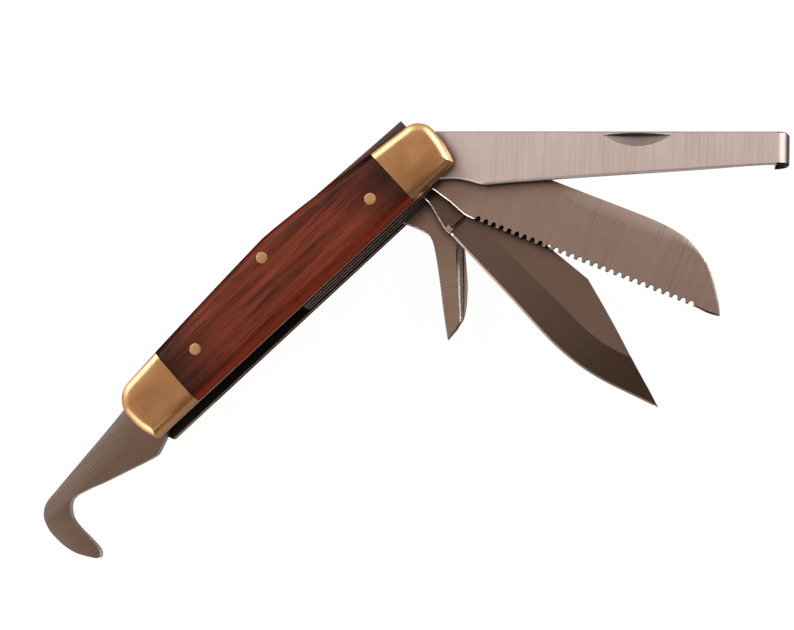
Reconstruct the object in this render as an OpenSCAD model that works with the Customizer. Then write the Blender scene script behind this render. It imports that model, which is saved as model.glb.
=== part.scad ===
// Five-tool folding horseman's knife: a hoof knife, a saw, a main blade and a leather punch
// fan out of one bolster, and a hoof pick is open at the other.
// Millimetres. +X runs along the handle to the blade end, +Y is the spring side (the back),
// -Y is the mouth that the tools fold into, +Z is up, and the knife rests on Z = 0.

/* [Handle] */
// Length over both bolsters
handle_len = 108; // [104:1:130]
// Width across the bolsters, mouth side to back
handle_w = 16.4; // [15.6:0.2:20]
// Height of the back, where pick bolster meets scale, above half the width
back_rise = 0.6; // [0.3:0.1:1.2]
// Fall of the back from there to where the blade bolster meets the scale
blade_joint_drop = 0.6; // [0:0.1:1]
// Rise of the back at mid-length above the pick end of the wooden scales
crown = 2.7; // [2:0.1:4]
// Fall of the back from the pick bolster's joint to the blade end
blade_end_drop = 1.7; // [1:0.1:2.4]
// Fall of the back from the pick bolster's joint to the pick end
pick_end_drop = 0.9; // [0.2:0.1:1.4]
// Length of a bolster at the blade end
bolster_len = 16; // [15:0.5:20]
// Length of a bolster at the pick end
pick_bolster_len = 16.5; // [15:0.5:20]
// Thickness of the wooden scales and the bolsters
scale_t = 4.5; // [4:0.1:6]
// Rounding of the outer edges of scales and bolsters
edge_r = 3; // [1:0.1:3.5]
// How far a bolster's end stands out beyond its mouth corner
end_bulge = 1.9; // [1:0.1:3]
// Corner radius of the blade bolsters on the back side
blade_corner_r = 5.2; // [4:0.1:7]
// Corner radius of the pick bolsters on the back side
pick_corner_r = 6.4; // [4:0.1:7]

/* [Plates] */
// Thickness of the two outer liners
liner_t = 0.8; // [0.6:0.1:1.2]
// Thickness of the three dividers between the tools
divider_t = 0.6; // [0.4:0.1:1]
// Where the dividers' full width ends, from mid-length towards the blade end
divider_end_x = -1.5; // [-6:0.5:4]
// Radius of the divider's ring round the pick pivot
divider_eye_r = 3.8; // [3.5:0.1:3.8]

/* [Tools] */
// Thickness of the hoof knife
hoof_t = 2.3; // [2:0.1:3]
// Thickness of the saw
saw_t = 2; // [1.6:0.1:3]
// Thickness of the main blade
main_t = 2.3; // [2:0.1:3]
// Thickness of the punch and of the hoof pick
end_tool_t = 2.6; // [2.2:0.1:3.4]
// Gap between a tool and the plate on each side of it
side_gap = 0.1; // [0.05:0.01:0.2]
// Hoof knife: how far its tip falls short of the pick pivot when closed
hoof_short = 0.3; // [0:0.1:4]
// Hoof knife: height of the spine above the pivot
hoof_spine = 7.7; // [6:0.1:8]
// Hoof knife: outer radius of the curled tip
curl_r = 3.4; // [2.5:0.1:4]
// Hoof knife: thickness of the curled tip
curl_t = 1.3; // [1:0.1:2]
// Saw: how far its tip falls short of the pick pivot when closed
saw_short = 8.2; // [6:0.1:20]
// Saw: height of the spine above the pivot
saw_spine = 8.2; // [7:0.1:9]
// Saw: spacing of the teeth
tooth_pitch = 2.15; // [1.5:0.05:3]
// Saw: depth of the teeth
tooth_h = 1.1; // [0.6:0.1:1.6]
// Main blade: how far its tip falls short of the pick pivot when closed
main_short = 6.4; // [5:0.1:20]
// Main blade: height of the corner where spine meets clip, above the pivot
main_corner = 12; // [9:0.1:13]
// Punch: length from pivot to tip
punch_len = 46; // [38:0.5:47]
// Punch: width above the pivot
punch_w = 7; // [5:0.1:8]
// Gap between the folded punch and the folded hoof pick
fold_gap = 2.2; // [1.5:0.1:6]
// Hoof pick: length of the hook below the shank's back edge
hook_drop = 20.6; // [16:0.2:21]
// Hoof pick: width of the hook
hook_w = 6.5; // [5:0.1:7.5]

/* [Pivots and pins] */
// Diameter of the two pivot pins
pivot_d = 3; // [2.5:0.1:3.4]
// Radial clearance of a tool on its pivot pin
pivot_gap = 0.04; // [0.02:0.01:0.08]
// Blade pivot, in from the end of the handle
blade_pivot_in = 8; // [7.5:0.1:9]
// Pick pivot, in from the end of the handle
pick_pivot_in = 6.5; // [6.5:0.1:8]
// Depth of the pivot pins in each bolster
pivot_seat = 3.4; // [2:0.1:3.6]
// Diameter of the pin through the middle of the springs
centre_pin_d = 3; // [2:0.1:3.4]
// Centre pin, down from the top of the crown
centre_pin_in = 4.3; // [4:0.1:5]
// Diameter of the scale rivets
rivet_d = 3; // [2:0.1:4]
// Distance of the rivet on the pick side from the bolster joint beside it
pick_rivet_in = 8.6; // [6:0.1:14]
// Distance of the rivet on the blade side from the bolster joint beside it
blade_rivet_in = 7.8; // [6:0.1:14]

/* [Springs] */
// Radius of a tool's tang
tang_r = 5; // [4.5:0.1:5.4]
// Gap between the spring and the tang
tang_gap = 0.1; // [0.05:0.01:0.2]
// Depth of the spring over the tang
spring_end_t = 4.1; // [3:0.1:5]
// How far the lifted spring stands proud of the back
spring_proud = 2.8; // [1.2:0.1:3]
// Depth of the thin, bending part of the spring
spring_bend_t = 2.9; // [2.4:0.1:3]
// Steel left round the centre pin
pin_wall = 1.1; // [0.8:0.1:1.4]

/* [Open angles, degrees below straight out] */
// Hoof knife
hoof_angle = 44; // [0:1:60]
// Saw
saw_angle = 65; // [0:1:80]
// Main blade
main_angle = 91; // [0:1:100]
// Punch
punch_angle = 123; // [0:1:130]

/* [Hidden] */

// Ends of the handle and the line where each bolster meets its scale
half_len = handle_len / 2;
joint_x = half_len - bolster_len;
pick_joint_x = half_len - pick_bolster_len;
mouth_y = -handle_w / 2;
// The back: at the scale ends, at the crown, and at each rounded end
back_joint_y = handle_w / 2 + back_rise;
blade_joint_y = back_joint_y - blade_joint_drop;
crown_x = 3;
crown_y = back_joint_y + crown;
blade_end_y = back_joint_y - blade_end_drop;
pick_end_y = back_joint_y - pick_end_drop;

// Slots and the levels of the stack, from the resting face up
hoof_slot = hoof_t + 2 * side_gap;
saw_slot = saw_t + 2 * side_gap;
main_slot = main_t + 2 * side_gap;
end_slot = end_tool_t + 2 * side_gap;
back_liner_z = scale_t;
end_z = back_liner_z + liner_t;
main_punch_z = end_z + end_slot;
main_z = main_punch_z + divider_t;
saw_main_z = main_z + main_slot;
saw_z = saw_main_z + divider_t;
hoof_saw_z = saw_z + saw_slot;
hoof_z = hoof_saw_z + divider_t;
front_liner_z = hoof_z + hoof_slot;
front_scale_z = front_liner_z + liner_t;
total_z = front_scale_z + scale_t;

// Spring arms over the tangs, and the pivots that follow from them
spring_under_y = handle_w / 2 - spring_end_t;
blade_pivot = [half_len - blade_pivot_in, spring_under_y - tang_gap - tang_r];
pivot_rise = 0.5;    // the pick's pivot above the blades' pivot
pick_pivot = [-half_len + pick_pivot_in, blade_pivot[1] + pivot_rise];
pivot_span = blade_pivot[0] - pick_pivot[0];
arm_over = 3.6;      // the spring's end past the pivot
seat_reach = 4.5;    // the spring's seat on the handle side of the pivot
seat_ramp = 2.5;     // length of the slope from the seat to the thin part
shoulder_gap = 0.4;  // from the spring's end to a tool's shoulder
shoulder_x = arm_over + shoulder_gap;
arm_end_x = blade_pivot[0] + arm_over;
lift_y = blade_end_y + spring_proud;
centre_pin = [-0.4, crown_y - centre_pin_in];
boss_y = centre_pin[1] - centre_pin_d / 2 - pin_wall;
rivets = [[-pick_joint_x + pick_rivet_in, 1.5], [joint_x - blade_rivet_in, -0.9]];

hoof_len = pivot_span - hoof_short;
saw_len = pivot_span - saw_short;
main_len = pivot_span - main_short;
pick_len = pivot_span - punch_len - fold_gap;

steel = [0.66, 0.6, 0.56];
dark_steel = [0.45, 0.4, 0.36];
brass = [0.76, 0.58, 0.38];
rosewood = [0.44, 0.22, 0.16];

// Points along an arc round c, from angle a0 to a1 in n steps
function arc(c, r, a0, a1, n = 8) =
    [for (i = [0:n]) let (a = a0 + (a1 - a0) * i / n) c + r * [cos(a), sin(a)]];

function flip_x(points) = [for (i = [len(points) - 1:-1:0]) [-points[i][0], points[i][1]]];

// The back's height at x between the two scale ends
function back_y(x) = x > crown_x
    ? crown_y - (crown_y - blade_joint_y) * pow((x - crown_x) / (joint_x - crown_x), 1.3)
    : crown_y - crown * pow((crown_x - x) / (pick_joint_x + crown_x), 1.1);

// Each end: the back's height at the end, the corner's radius, and where the joint meets the back
blade_end = [blade_end_y, blade_corner_r, joint_x, blade_joint_y];
pick_end = [pick_end_y, pick_corner_r, pick_joint_x, back_joint_y];

// One rounded end, drawn at +X from the mouth up to the back, set in by e
function end_points(end, e) =
    let (corner = end[1], c = [half_len - corner, end[0] - corner], h = c[1] - mouth_y,
         r = (end_bulge * end_bulge + h * h) / (2 * end_bulge))
    concat(arc([half_len - r, c[1]], r - e, -asin((h - e) / (r - e)), 0, 5),
           arc(c, corner - e, 10, 80, 7));

crown_steps = 16;
function crown_points(e) =
    [for (i = [0:crown_steps]) let (x = joint_x - (joint_x + pick_joint_x) * i / crown_steps)
        [x, back_y(x) - e]];

function handle_points(e = 0) =
    concat(end_points(blade_end, e), crown_points(e), flip_x(end_points(pick_end, e)));

function scale_points(e) =
    concat(crown_points(e), [[-pick_joint_x, mouth_y + e], [joint_x, mouth_y + e]]);

function bolster_points(end, e) =
    concat(end_points(end, e), [[end[2], end[3] - e], [end[2], mouth_y + e]]);

// Outer edges rounded in quarter-circle steps towards the top
rounding = [for (a = [0:15:90]) [edge_r * (1 - cos(a)), edge_r * sin(a)]];
skin = 0.02;

module rounded_scale() {
    hull() {
        linear_extrude(scale_t - edge_r) polygon(scale_points(0));
        for (s = rounding)
            translate([0, 0, scale_t - edge_r + s[1] - skin])
                linear_extrude(skin) polygon(scale_points(s[0]));
    }
}

module rounded_bolster(end) {
    hull() {
        linear_extrude(scale_t - edge_r) polygon(bolster_points(end, 0));
        for (s = rounding)
            translate([0, 0, scale_t - edge_r + s[1] - skin])
                linear_extrude(skin) polygon(bolster_points(end, s[0]));
    }
}

// Turns a front cover over, for the back of the knife
module far_side() translate([0, 0, scale_t]) mirror([0, 0, 1]) children();

module near_side() translate([0, 0, front_scale_z]) children();

module bore(at, d) translate([at[0], at[1], -1]) cylinder(d = d, h = total_z + 2, $fn = 64);

module scale_bores() {
    bore(centre_pin, centre_pin_d);
    for (at = rivets) bore(at, rivet_d);
}

module pivot_bores() {
    bore(blade_pivot, pivot_d);
    bore(pick_pivot, pivot_d);
}

module pivot_seat_bore(at) {
    translate([at[0], at[1], -1]) cylinder(d = pivot_d, h = pivot_seat + 1, $fn = 64);
}

module front_scale() color(rosewood) near_side() difference() { rounded_scale(); scale_bores(); }

module back_scale() color(rosewood) far_side() difference() { rounded_scale(); scale_bores(); }

module blade_bolster() difference() { rounded_bolster(blade_end); pivot_seat_bore(blade_pivot); }

module pick_bolster() difference() {
    mirror([1, 0, 0]) rounded_bolster(pick_end);
    pivot_seat_bore(pick_pivot);
}

module front_blade_bolster() color(brass) near_side() blade_bolster();
module front_pick_bolster() color(brass) near_side() pick_bolster();
module back_blade_bolster() color(brass) far_side() blade_bolster();
module back_pick_bolster() color(brass) far_side() pick_bolster();

module liner(z) {
    difference() {
        translate([0, 0, z]) linear_extrude(liner_t) polygon(handle_points());
        pivot_bores();
        scale_bores();
    }
}

module front_liner() color(steel) liner(front_liner_z);
module back_liner() color(steel) liner(back_liner_z);

// What stays at the pick end of a divider or a one-tool spring: a back strip and the pivot's eye
module pick_end_steel(strip_y, eye_r) {
    intersection() {
        polygon(handle_points());
        union() {
            translate([-half_len, strip_y]) square([half_len + centre_pin[0], crown_y - strip_y]);
            translate(pick_pivot) circle(r = eye_r, $fn = 64);
            translate([-half_len, pick_pivot[1]])
                square([pick_pivot[0] + eye_r + half_len, crown_y - pick_pivot[1]]);
        }
    }
}

module divider(z) {
    difference() {
        translate([0, 0, z]) linear_extrude(divider_t) union() {
            pick_end_steel(boss_y, divider_eye_r);
            intersection() {
                polygon(handle_points());
                translate([divider_end_x, mouth_y]) square([half_len, crown_y - mouth_y]);
            }
        }
        pivot_bores();
        bore(centre_pin, centre_pin_d);
    }
}

module hoof_saw_divider() color(steel) divider(hoof_saw_z);
module saw_main_divider() color(steel) divider(saw_main_z);
module main_punch_divider() color(steel) divider(main_punch_z);

// The spring's outer line from the crown to its lifted end
function lift_line(x) = crown_y + (x - crown_x) * (lift_y - crown_y) / (arm_end_x - crown_x);

boss_foot = 6.5;    // half-length of the thick middle, at the thin part
boss_face = 3;      // half-length of the thick middle, at its inner face
strip_step = 1;     // the springs' back strip is this much thinner than the dividers'
bend_end_x = blade_pivot[0] - seat_reach - seat_ramp;
blade_arm = [
    [centre_pin[0], back_y(centre_pin[0])], [centre_pin[0], boss_y], [centre_pin[0] + boss_face, boss_y],
    [centre_pin[0] + boss_foot, lift_line(centre_pin[0] + boss_foot) - spring_bend_t],
    [bend_end_x, lift_line(bend_end_x) - spring_bend_t],
    [blade_pivot[0] - seat_reach, spring_under_y], [arm_end_x, spring_under_y], [arm_end_x, lift_y],
    [crown_x, crown_y]
];

// The pick side of the double spring, whose end lies over the pick's tang
pick_seat_y = pick_pivot[1] + tang_r + tang_gap;
pick_arm = [
    [centre_pin[0], crown_y], [pick_pivot[0] - arm_over, crown_y], [pick_pivot[0] - arm_over, pick_seat_y],
    [pick_pivot[0] + seat_reach, pick_seat_y],
    [pick_pivot[0] + seat_reach + seat_ramp, back_joint_y - spring_bend_t],
    [centre_pin[0] - boss_foot, back_y(centre_pin[0] - boss_foot) - spring_bend_t],
    [centre_pin[0] - boss_face, boss_y], [centre_pin[0], boss_y]
];

module spring(z, t) {
    difference() {
        translate([0, 0, z]) linear_extrude(t) union() {
            polygon(blade_arm);
            pick_end_steel(boss_y + strip_step, divider_eye_r);
            intersection() {
                polygon(handle_points());
                translate([centre_pin[0] - boss_face, boss_y]) square([boss_face, crown_y - boss_y]);
            }
        }
        bore(centre_pin, centre_pin_d);
        bore(pick_pivot, pivot_d);
    }
}

module hoof_spring() color(dark_steel) spring(hoof_z, hoof_slot);
module saw_spring() color(dark_steel) spring(saw_z, saw_slot);
module main_spring() color(dark_steel) spring(main_z, main_slot);

module punch_pick_spring() {
    color(dark_steel) difference() {
        translate([0, 0, end_z]) linear_extrude(end_slot) union() {
            polygon(blade_arm);
            intersection() {
                polygon(handle_points());
                polygon(pick_arm);
            }
        }
        bore(centre_pin, centre_pin_d);
    }
}

module pivot_pin(at) {
    translate([at[0], at[1], scale_t - pivot_seat])
        cylinder(d = pivot_d, h = total_z - 2 * (scale_t - pivot_seat), $fn = 64);
}

module blade_pivot_pin() color(brass) pivot_pin(blade_pivot);
module pick_pivot_pin() color(brass) pivot_pin(pick_pivot);

module centre_pin() {
    color(brass) translate(centre_pin) cylinder(d = centre_pin_d, h = total_z, $fn = 64);
}

module rivet_pair() {
    for (at = rivets) translate(at) cylinder(d = rivet_d, h = scale_t + liner_t, $fn = 64);
}

module front_scale_rivets() color(brass) translate([0, 0, front_liner_z]) rivet_pair();
module back_scale_rivets() color(brass) rivet_pair();

// Tools are drawn with the pivot at the origin, the tip along +X, the spine towards +Y and the
// lower face on Z = 0, then turned to their open angle.
module at_blade_pivot(z, angle) translate([blade_pivot[0], blade_pivot[1], z]) rotate(-angle) children();

module tang_bore() translate([0, 0, -1]) cylinder(r = pivot_d / 2 + pivot_gap, h = 6, $fn = 64);

module tang_disc() circle(r = tang_r, $fn = 64);

wide = 40;    // longer than any tool is wide
clear = 2;    // how far a bevel's wedge starts outside the edge

// Takes a wedge off both faces along the edge that runs from p to q with the blade on its left;
// the wedge starts back before p and runs on past q
module bevel(p, q, w, t, edge_t, back = 0, on = 0) {
    d = q - p;
    translate([p[0], p[1], t / 2]) rotate(atan2(d[1], d[0])) translate([-back, 0, 0])
        for (side = [0, 1]) mirror([0, 0, side])
            rotate([90, 0, 90]) linear_extrude(norm(d) + back + on)
                polygon([[-clear, t], [-clear, edge_t / 2], [0, edge_t / 2], [w, t / 2], [w, t]]);
}

// Bevels along a run of edge points, each running on into its neighbours, and past the last point
// by end_on
module bevels(points, w, t, edge_t, end_on, run_on = 3) {
    last = len(points) - 2;
    for (i = [0:last])
        bevel(points[i], points[i + 1], w, t, edge_t, i == 0 ? 0 : run_on, i == last ? end_on : run_on);
}

// A crescent for the thumbnail: a shallow cone laid along the spine and sunk into the upper face
module nail_nick(x, y, length, width, depth, t) {
    r = (length * length / 4 + depth * depth) / (2 * depth);
    translate([x, y, t + r - depth]) rotate([90, 0, 0])
        cylinder(r1 = r, r2 = r - depth, h = width, $fn = 96);
}

hoof_edge = [
    [17, -5.9], [23.6, -5.3], [hoof_len - 59, -4.5], [hoof_len - 22, -1.8], [hoof_len - 4, -0.65]];
hoof_outline = concat(
    [[0, 0], [4.5, -4.5], [10.3, -4.5], [14.5, -5.3]], hoof_edge, [[hoof_len, -0.7]],
    arc([hoof_len - 2.5, hoof_spine - 2.5], 2.5, 0, 90, 5),
    [[shoulder_x, hoof_spine], [shoulder_x, 2]]);
hoof_bevels = [hoof_edge[0], hoof_edge[2], hoof_edge[4]];

// The blade seen along its width: it thins to the tip, which curls down through a half circle
module hoof_side_profile() {
    curl_x = hoof_len - curl_r;
    thin_x = curl_x - 22;
    centre = [curl_x, hoof_t - curl_r];
    polygon(concat(
        [[-tang_r - 1, hoof_t], [-tang_r - 1, 0], [thin_x, 0]],
        arc(centre, curl_r - curl_t, 90, -90, 40), arc(centre, curl_r, -90, 90, 40)));
}

module hoof_knife() {
    color(steel) at_blade_pivot(hoof_z + side_gap, hoof_angle) difference() {
        intersection() {
            translate([0, 0, -wide / 2]) linear_extrude(wide) union() {
                tang_disc();
                polygon(hoof_outline);
            }
            translate([0, wide / 2, 0]) rotate([90, 0, 0]) linear_extrude(wide) hoof_side_profile();
        }
        tang_bore();
        bevels(hoof_bevels, 1.2, hoof_t, 0.5, 0);
        nail_nick(55.4, hoof_spine - 0.5, 16, 3.2, 0.8, hoof_t);
    }
}

// The saw's teeth are cut between its kick and the plain tip, along a line below the pivot
saw_tooth_y = -8.4;
saw_first_x = 19;
plain_tip = 6;    // length of the saw's tip that has no teeth
tooth_count = floor((saw_len - plain_tip - saw_first_x) / tooth_pitch);
saw_root_y = saw_tooth_y + tooth_h;
saw_teeth = [for (i = [0:tooth_count - 1]) let (x = saw_first_x + i * tooth_pitch)
    each [[x + tooth_pitch * 0.15, saw_root_y], [x + tooth_pitch * 0.35, saw_root_y],
          [x + tooth_pitch * 0.75, saw_tooth_y]]];
saw_outline = concat(
    [[0, 0], [4.5, -4.8], [8, -5.8], [11, -6.6], [14.5, -7.8], [16.3, -8.3], [18.4, -8.2]], saw_teeth,
    [[saw_len - 5.7, -8.5], [saw_len - 3, -8.8], [saw_len, -8.4],
     [saw_len - 2, -4.5], [saw_len - 5, 0.2], [saw_len - 8, 3.5], [saw_len - 12, 5.9],
     [saw_len - 17, 7.4], [saw_len - 22.5, saw_spine], [shoulder_x, saw_spine], [shoulder_x, 2]]);

module saw_blade() {
    color(steel) at_blade_pivot(saw_z + side_gap, saw_angle) difference() {
        linear_extrude(saw_t) union() {
            tang_disc();
            polygon(saw_outline);
        }
        tang_bore();
        bevel([saw_len - 22.5, saw_spine], [20, saw_spine], 3, saw_t, 1.3);
    }
}

// The main blade: a straight edge with a belly, and a long clip down to the point
main_edge = [
    [18.5, -6.5], [main_len - 31, -5.8], [main_len - 23, -4.9], [main_len - 15, -2.7],
    [main_len - 7, 0.4], [main_len, 3.3]];
main_outline = concat(
    [[0, 0], [4.5, -4.8], [9.4, -5.4], [14.3, -6.3], [16.8, -6.7], [18, -6.9]], main_edge,
    [[main_len - 20, 8.3], [main_len - 36, main_corner], [shoulder_x, 5.6], [shoulder_x, 2]]);

module main_blade() {
    color(dark_steel) at_blade_pivot(main_z + side_gap, main_angle) difference() {
        linear_extrude(main_t) union() {
            tang_disc();
            polygon(main_outline);
        }
        tang_bore();
        bevels(main_edge, 7.5, main_t, 0.3, 3);
        nail_nick(26, main_corner - 5, 12, 2.6, 0.6, main_t);
    }
}

// The punch: a stout blade with an oblique point and a hollow along its spine side
punch_outline = [
    [0, 0], [4.5, -4.8], [8, -6.6], [12, -8.2], [13.4, -8], [14.6, -6], [15.9, -4.1], [17.2, -2.4],
    [18.6, -1.1], [20.9, -0.6], [27.6, -0.6], [punch_len - 6.5, -1], [punch_len, -1.1],
    [punch_len - 4.6, punch_w - 3.1], [37, punch_w - 1.6], [33, punch_w - 0.8], [28, punch_w - 0.3],
    [22, punch_w], [8, punch_w], [shoulder_x, punch_w - 0.6], [shoulder_x, 2]];
groove_r = 1.7;

module punch_hollow() {
    from = [21, punch_w + 0.1];
    to = [punch_len - 3, punch_w - 3.2];
    d = to - from;
    translate([from[0], from[1], end_tool_t + 0.1]) rotate(atan2(d[1], d[0])) rotate([0, 90, 0])
        cylinder(r = groove_r, h = norm(d) + 4, $fn = 48);
}

module leather_punch() {
    color(steel) at_blade_pivot(end_z + side_gap, punch_angle) difference() {
        linear_extrude(end_tool_t) union() {
            tang_disc();
            polygon(punch_outline);
        }
        tang_bore();
        punch_hollow();
    }
}

// The pick, drawn with its shank along +X and mirrored into place, folds towards the mouth
hook_tip_y = 2.5 - hook_drop;
pick_outline = concat(
    [[0, 0], [3, -5.2], [5.6, -6.6], [8.9, -8], [10.2, -8.3], [11.8, -8.1], [15.1, -7.1],
     [pick_len - 21.5, -4.5], [pick_len - 15.8, -2.6]],
    arc([pick_len - hook_w - 3.6, -5], 3.5, 90, 0, 5),
    [[pick_len - hook_w - 0.1, -7.5], [pick_len - hook_w - 0.4, -13.5]],
    arc([pick_len - 5.6, hook_tip_y + 1.1], 1.2, 180, 330, 5),
    [[pick_len - 3, -15.2], [pick_len - 1.5, -12.6], [pick_len - 0.4, -9.2]],
    arc([pick_len - 6, -3.2], 6, 0, 75, 5),
    [[9, 6.8], [shoulder_x, 7.3], [shoulder_x, 2]]);

module hoof_pick() {
    color(steel) translate([pick_pivot[0], pick_pivot[1], end_z + side_gap]) mirror([1, 0, 0])
        difference() {
            linear_extrude(end_tool_t) union() {
                tang_disc();
                polygon(pick_outline);
            }
            tang_bore();
        }
}

front_scale();
back_scale();
front_blade_bolster();
front_pick_bolster();
back_blade_bolster();
back_pick_bolster();
front_liner();
back_liner();
hoof_saw_divider();
saw_main_divider();
main_punch_divider();
hoof_spring();
saw_spring();
main_spring();
punch_pick_spring();
blade_pivot_pin();
pick_pivot_pin();
centre_pin();
front_scale_rivets();
back_scale_rivets();
hoof_knife();
saw_blade();
main_blade();
leather_punch();
hoof_pick();
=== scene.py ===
"""Looks of a folding horseman's knife with five tools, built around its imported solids.

The handle is a pair of wooden scales between brass bolsters, over steel liners, dividers and
springs. A hoof knife, a saw, a main blade and a leather punch fan out of one end, and a hoof pick
is open at the other. Sizes are millimetres in the row frame until a mesh is written in metres.
"""

import logging
import math
from collections.abc import Callable, Sequence
from dataclasses import dataclass, field, replace
from enum import Enum

import bmesh
import bpy
from mathutils import Matrix, Vector


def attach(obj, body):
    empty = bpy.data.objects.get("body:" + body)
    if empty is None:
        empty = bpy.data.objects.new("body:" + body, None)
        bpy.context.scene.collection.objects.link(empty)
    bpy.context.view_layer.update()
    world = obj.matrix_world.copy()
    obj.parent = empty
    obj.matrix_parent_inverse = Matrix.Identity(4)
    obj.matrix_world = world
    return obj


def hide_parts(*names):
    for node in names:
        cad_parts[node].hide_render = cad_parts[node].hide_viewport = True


MM = 0.001
LOG = logging.getLogger("horsemans_knife")

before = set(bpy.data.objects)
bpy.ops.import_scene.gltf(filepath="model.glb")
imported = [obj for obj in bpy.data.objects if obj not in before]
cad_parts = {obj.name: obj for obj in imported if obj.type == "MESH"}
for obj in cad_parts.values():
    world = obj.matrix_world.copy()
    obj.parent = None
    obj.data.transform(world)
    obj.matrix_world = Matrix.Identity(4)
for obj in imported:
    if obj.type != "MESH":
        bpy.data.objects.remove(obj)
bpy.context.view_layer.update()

Flat = tuple[float, float]
Solid = tuple[float, float, float]
Ring = list[Solid]
Colour = tuple[float, float, float, float]
Skin = bmesh.types.BMesh
Thing = bpy.types.Object
Material = bpy.types.Material
Tree = bpy.types.NodeTree
Node = bpy.types.Node
Socket = bpy.types.NodeSocket

BLADE_PIVOT: Flat = (46.0, -1.0)
PICK_PIVOT: Flat = (-47.5, -0.5)
STEEL_PAINTED_LIGHT = "tone"


# ---------------------------------------------------------------- numbers and curves


def to_linear(code: str) -> Colour:
    """Turn an sRGB hex code into a linear colour.

    Args:
        code: Six hex digits, with or without a leading hash.

    Returns:
        Linear red, green and blue, with alpha 1.
    """
    digits = code.lstrip("#")
    parts = [int(digits[i : i + 2], 16) / 255 for i in (0, 2, 4)]
    line = [c / 12.92 if c <= 0.04045 else ((c + 0.055) / 1.055) ** 2.4 for c in parts]
    return (line[0], line[1], line[2], 1.0)


def ease(value: float, start: float, end: float) -> float:
    """Rise smoothly from 0 at start to 1 at end."""
    t = min(max((value - start) / (end - start), 0.0), 1.0)
    return t * t * (3 - 2 * t)


def arc(centre: Flat, radius: float, start: float, end: float, steps: int) -> list[Flat]:
    """Points along an arc.

    Args:
        centre: The arc's centre.
        radius: Its radius.
        start: First angle in degrees.
        end: Last angle in degrees.
        steps: Number of equal steps.

    Returns:
        steps + 1 points.
    """
    turns = [math.radians(start + (end - start) * i / steps) for i in range(steps + 1)]
    return [(centre[0] + radius * math.cos(a), centre[1] + radius * math.sin(a)) for a in turns]


def height_curve(points: Sequence[Flat]) -> Callable[[float], float]:
    """A smooth single-valued curve through points.

    Args:
        points: Points in rising x.

    Returns:
        A function of x that gives y, level beyond both ends.
    """
    slopes = []
    for i in range(len(points)):
        before = points[max(i - 1, 0)]
        after = points[min(i + 1, len(points) - 1)]
        slopes.append((after[1] - before[1]) / (after[0] - before[0]))

    def at(x: float) -> float:
        """Height at x."""
        if x <= points[0][0]:
            return points[0][1]
        if x >= points[-1][0]:
            return points[-1][1]
        i = max(k for k in range(len(points) - 1) if points[k][0] <= x)
        (x0, y0), (x1, y1) = points[i], points[i + 1]
        run = x1 - x0
        t = (x - x0) / run
        bend = (
            (2 * t**3 - 3 * t**2 + 1) * y0
            + (t**3 - 2 * t**2 + t) * run * slopes[i]
            + (3 * t**2 - 2 * t**3) * y1
            + (t**3 - t**2) * run * slopes[i + 1]
        )
        return bend

    return at


def straight_curve(points: Sequence[Flat]) -> Callable[[float], float]:
    """A single-valued line of straight runs through points in rising x."""

    def at(x: float) -> float:
        """Height at x."""
        if x <= points[0][0]:
            return points[0][1]
        for (x0, y0), (x1, y1) in zip(points, points[1:]):
            if x <= x1:
                return y0 + (y1 - y0) * (x - x0) / max(x1 - x0, 1e-9)
        return points[-1][1]

    return at


def smooth_run(points: Sequence[Flat], steps: int = 6) -> list[Flat]:
    """A smooth line through points, without its last point.

    Args:
        points: Points along the run, whose ends are corners.
        steps: New points for each span.

    Returns:
        The points of the run, from the first up to but not including the last.
    """
    padded = [points[0], *points, points[-1]]
    out: list[Flat] = []
    for i in range(1, len(padded) - 2):
        p0, p1, p2, p3 = (Vector(padded[k]) for k in (i - 1, i, i + 1, i + 2))
        for s in range(steps):
            t = s / steps
            p = 0.5 * (
                2 * p1
                + (p2 - p0) * t
                + (2 * p0 - 5 * p1 + 4 * p2 - p3) * t**2
                + (3 * p1 - p0 - 3 * p2 + p3) * t**3
            )
            out.append((p.x, p.y))
    return out


# ---------------------------------------------------------------- meshes


def loft(rings: Sequence[Ring]) -> Skin:
    """A closed skin over rings of equal length, with both ends capped.

    Args:
        rings: Closed rings of points in millimetres, in order along the piece.

    Returns:
        The mesh, in metres.
    """
    mesh = bmesh.new()
    rows = [[mesh.verts.new([c * MM for c in p]) for p in ring] for ring in rings]
    count = len(rings[0])
    for row, following in zip(rows, rows[1:]):
        for i in range(count):
            j = (i + 1) % count
            mesh.faces.new((row[i], row[j], following[j], following[i]))
    mesh.faces.new(list(reversed(rows[0])))
    mesh.faces.new(rows[-1])
    return mesh


def tidy(mesh: Skin) -> None:
    """Merge doubles, drop slivers and point every face outwards."""
    bmesh.ops.remove_doubles(mesh, verts=mesh.verts, dist=2e-6)
    bmesh.ops.dissolve_degenerate(mesh, edges=mesh.edges, dist=1e-6)
    bmesh.ops.recalc_face_normals(mesh, faces=mesh.faces)


def as_object(mesh: Skin, name: str) -> Thing:
    """Write a mesh into a new scene object at the origin.

    Args:
        mesh: The mesh, which is freed.
        name: The object's name.

    Returns:
        The object.
    """
    tidy(mesh)
    data = bpy.data.meshes.new(name)
    mesh.to_mesh(data)
    mesh.free()
    obj = bpy.data.objects.new(name, data)
    bpy.context.scene.collection.objects.link(obj)
    return obj


def settle(obj: Thing) -> None:
    """Replace an object's mesh with what its modifiers make, and remove them."""
    view = bpy.context.evaluated_depsgraph_get()
    data = bpy.data.meshes.new_from_object(obj.evaluated_get(view), depsgraph=view)
    obj.modifiers.clear()
    obj.data = data


def crisp(obj: Thing, degrees: float = 24.0) -> None:
    """Shade smooth, with sharp lines where faces meet at more than an angle."""
    obj.data.shade_smooth()
    obj.data.set_sharp_from_angle(angle=math.radians(degrees))


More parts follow.
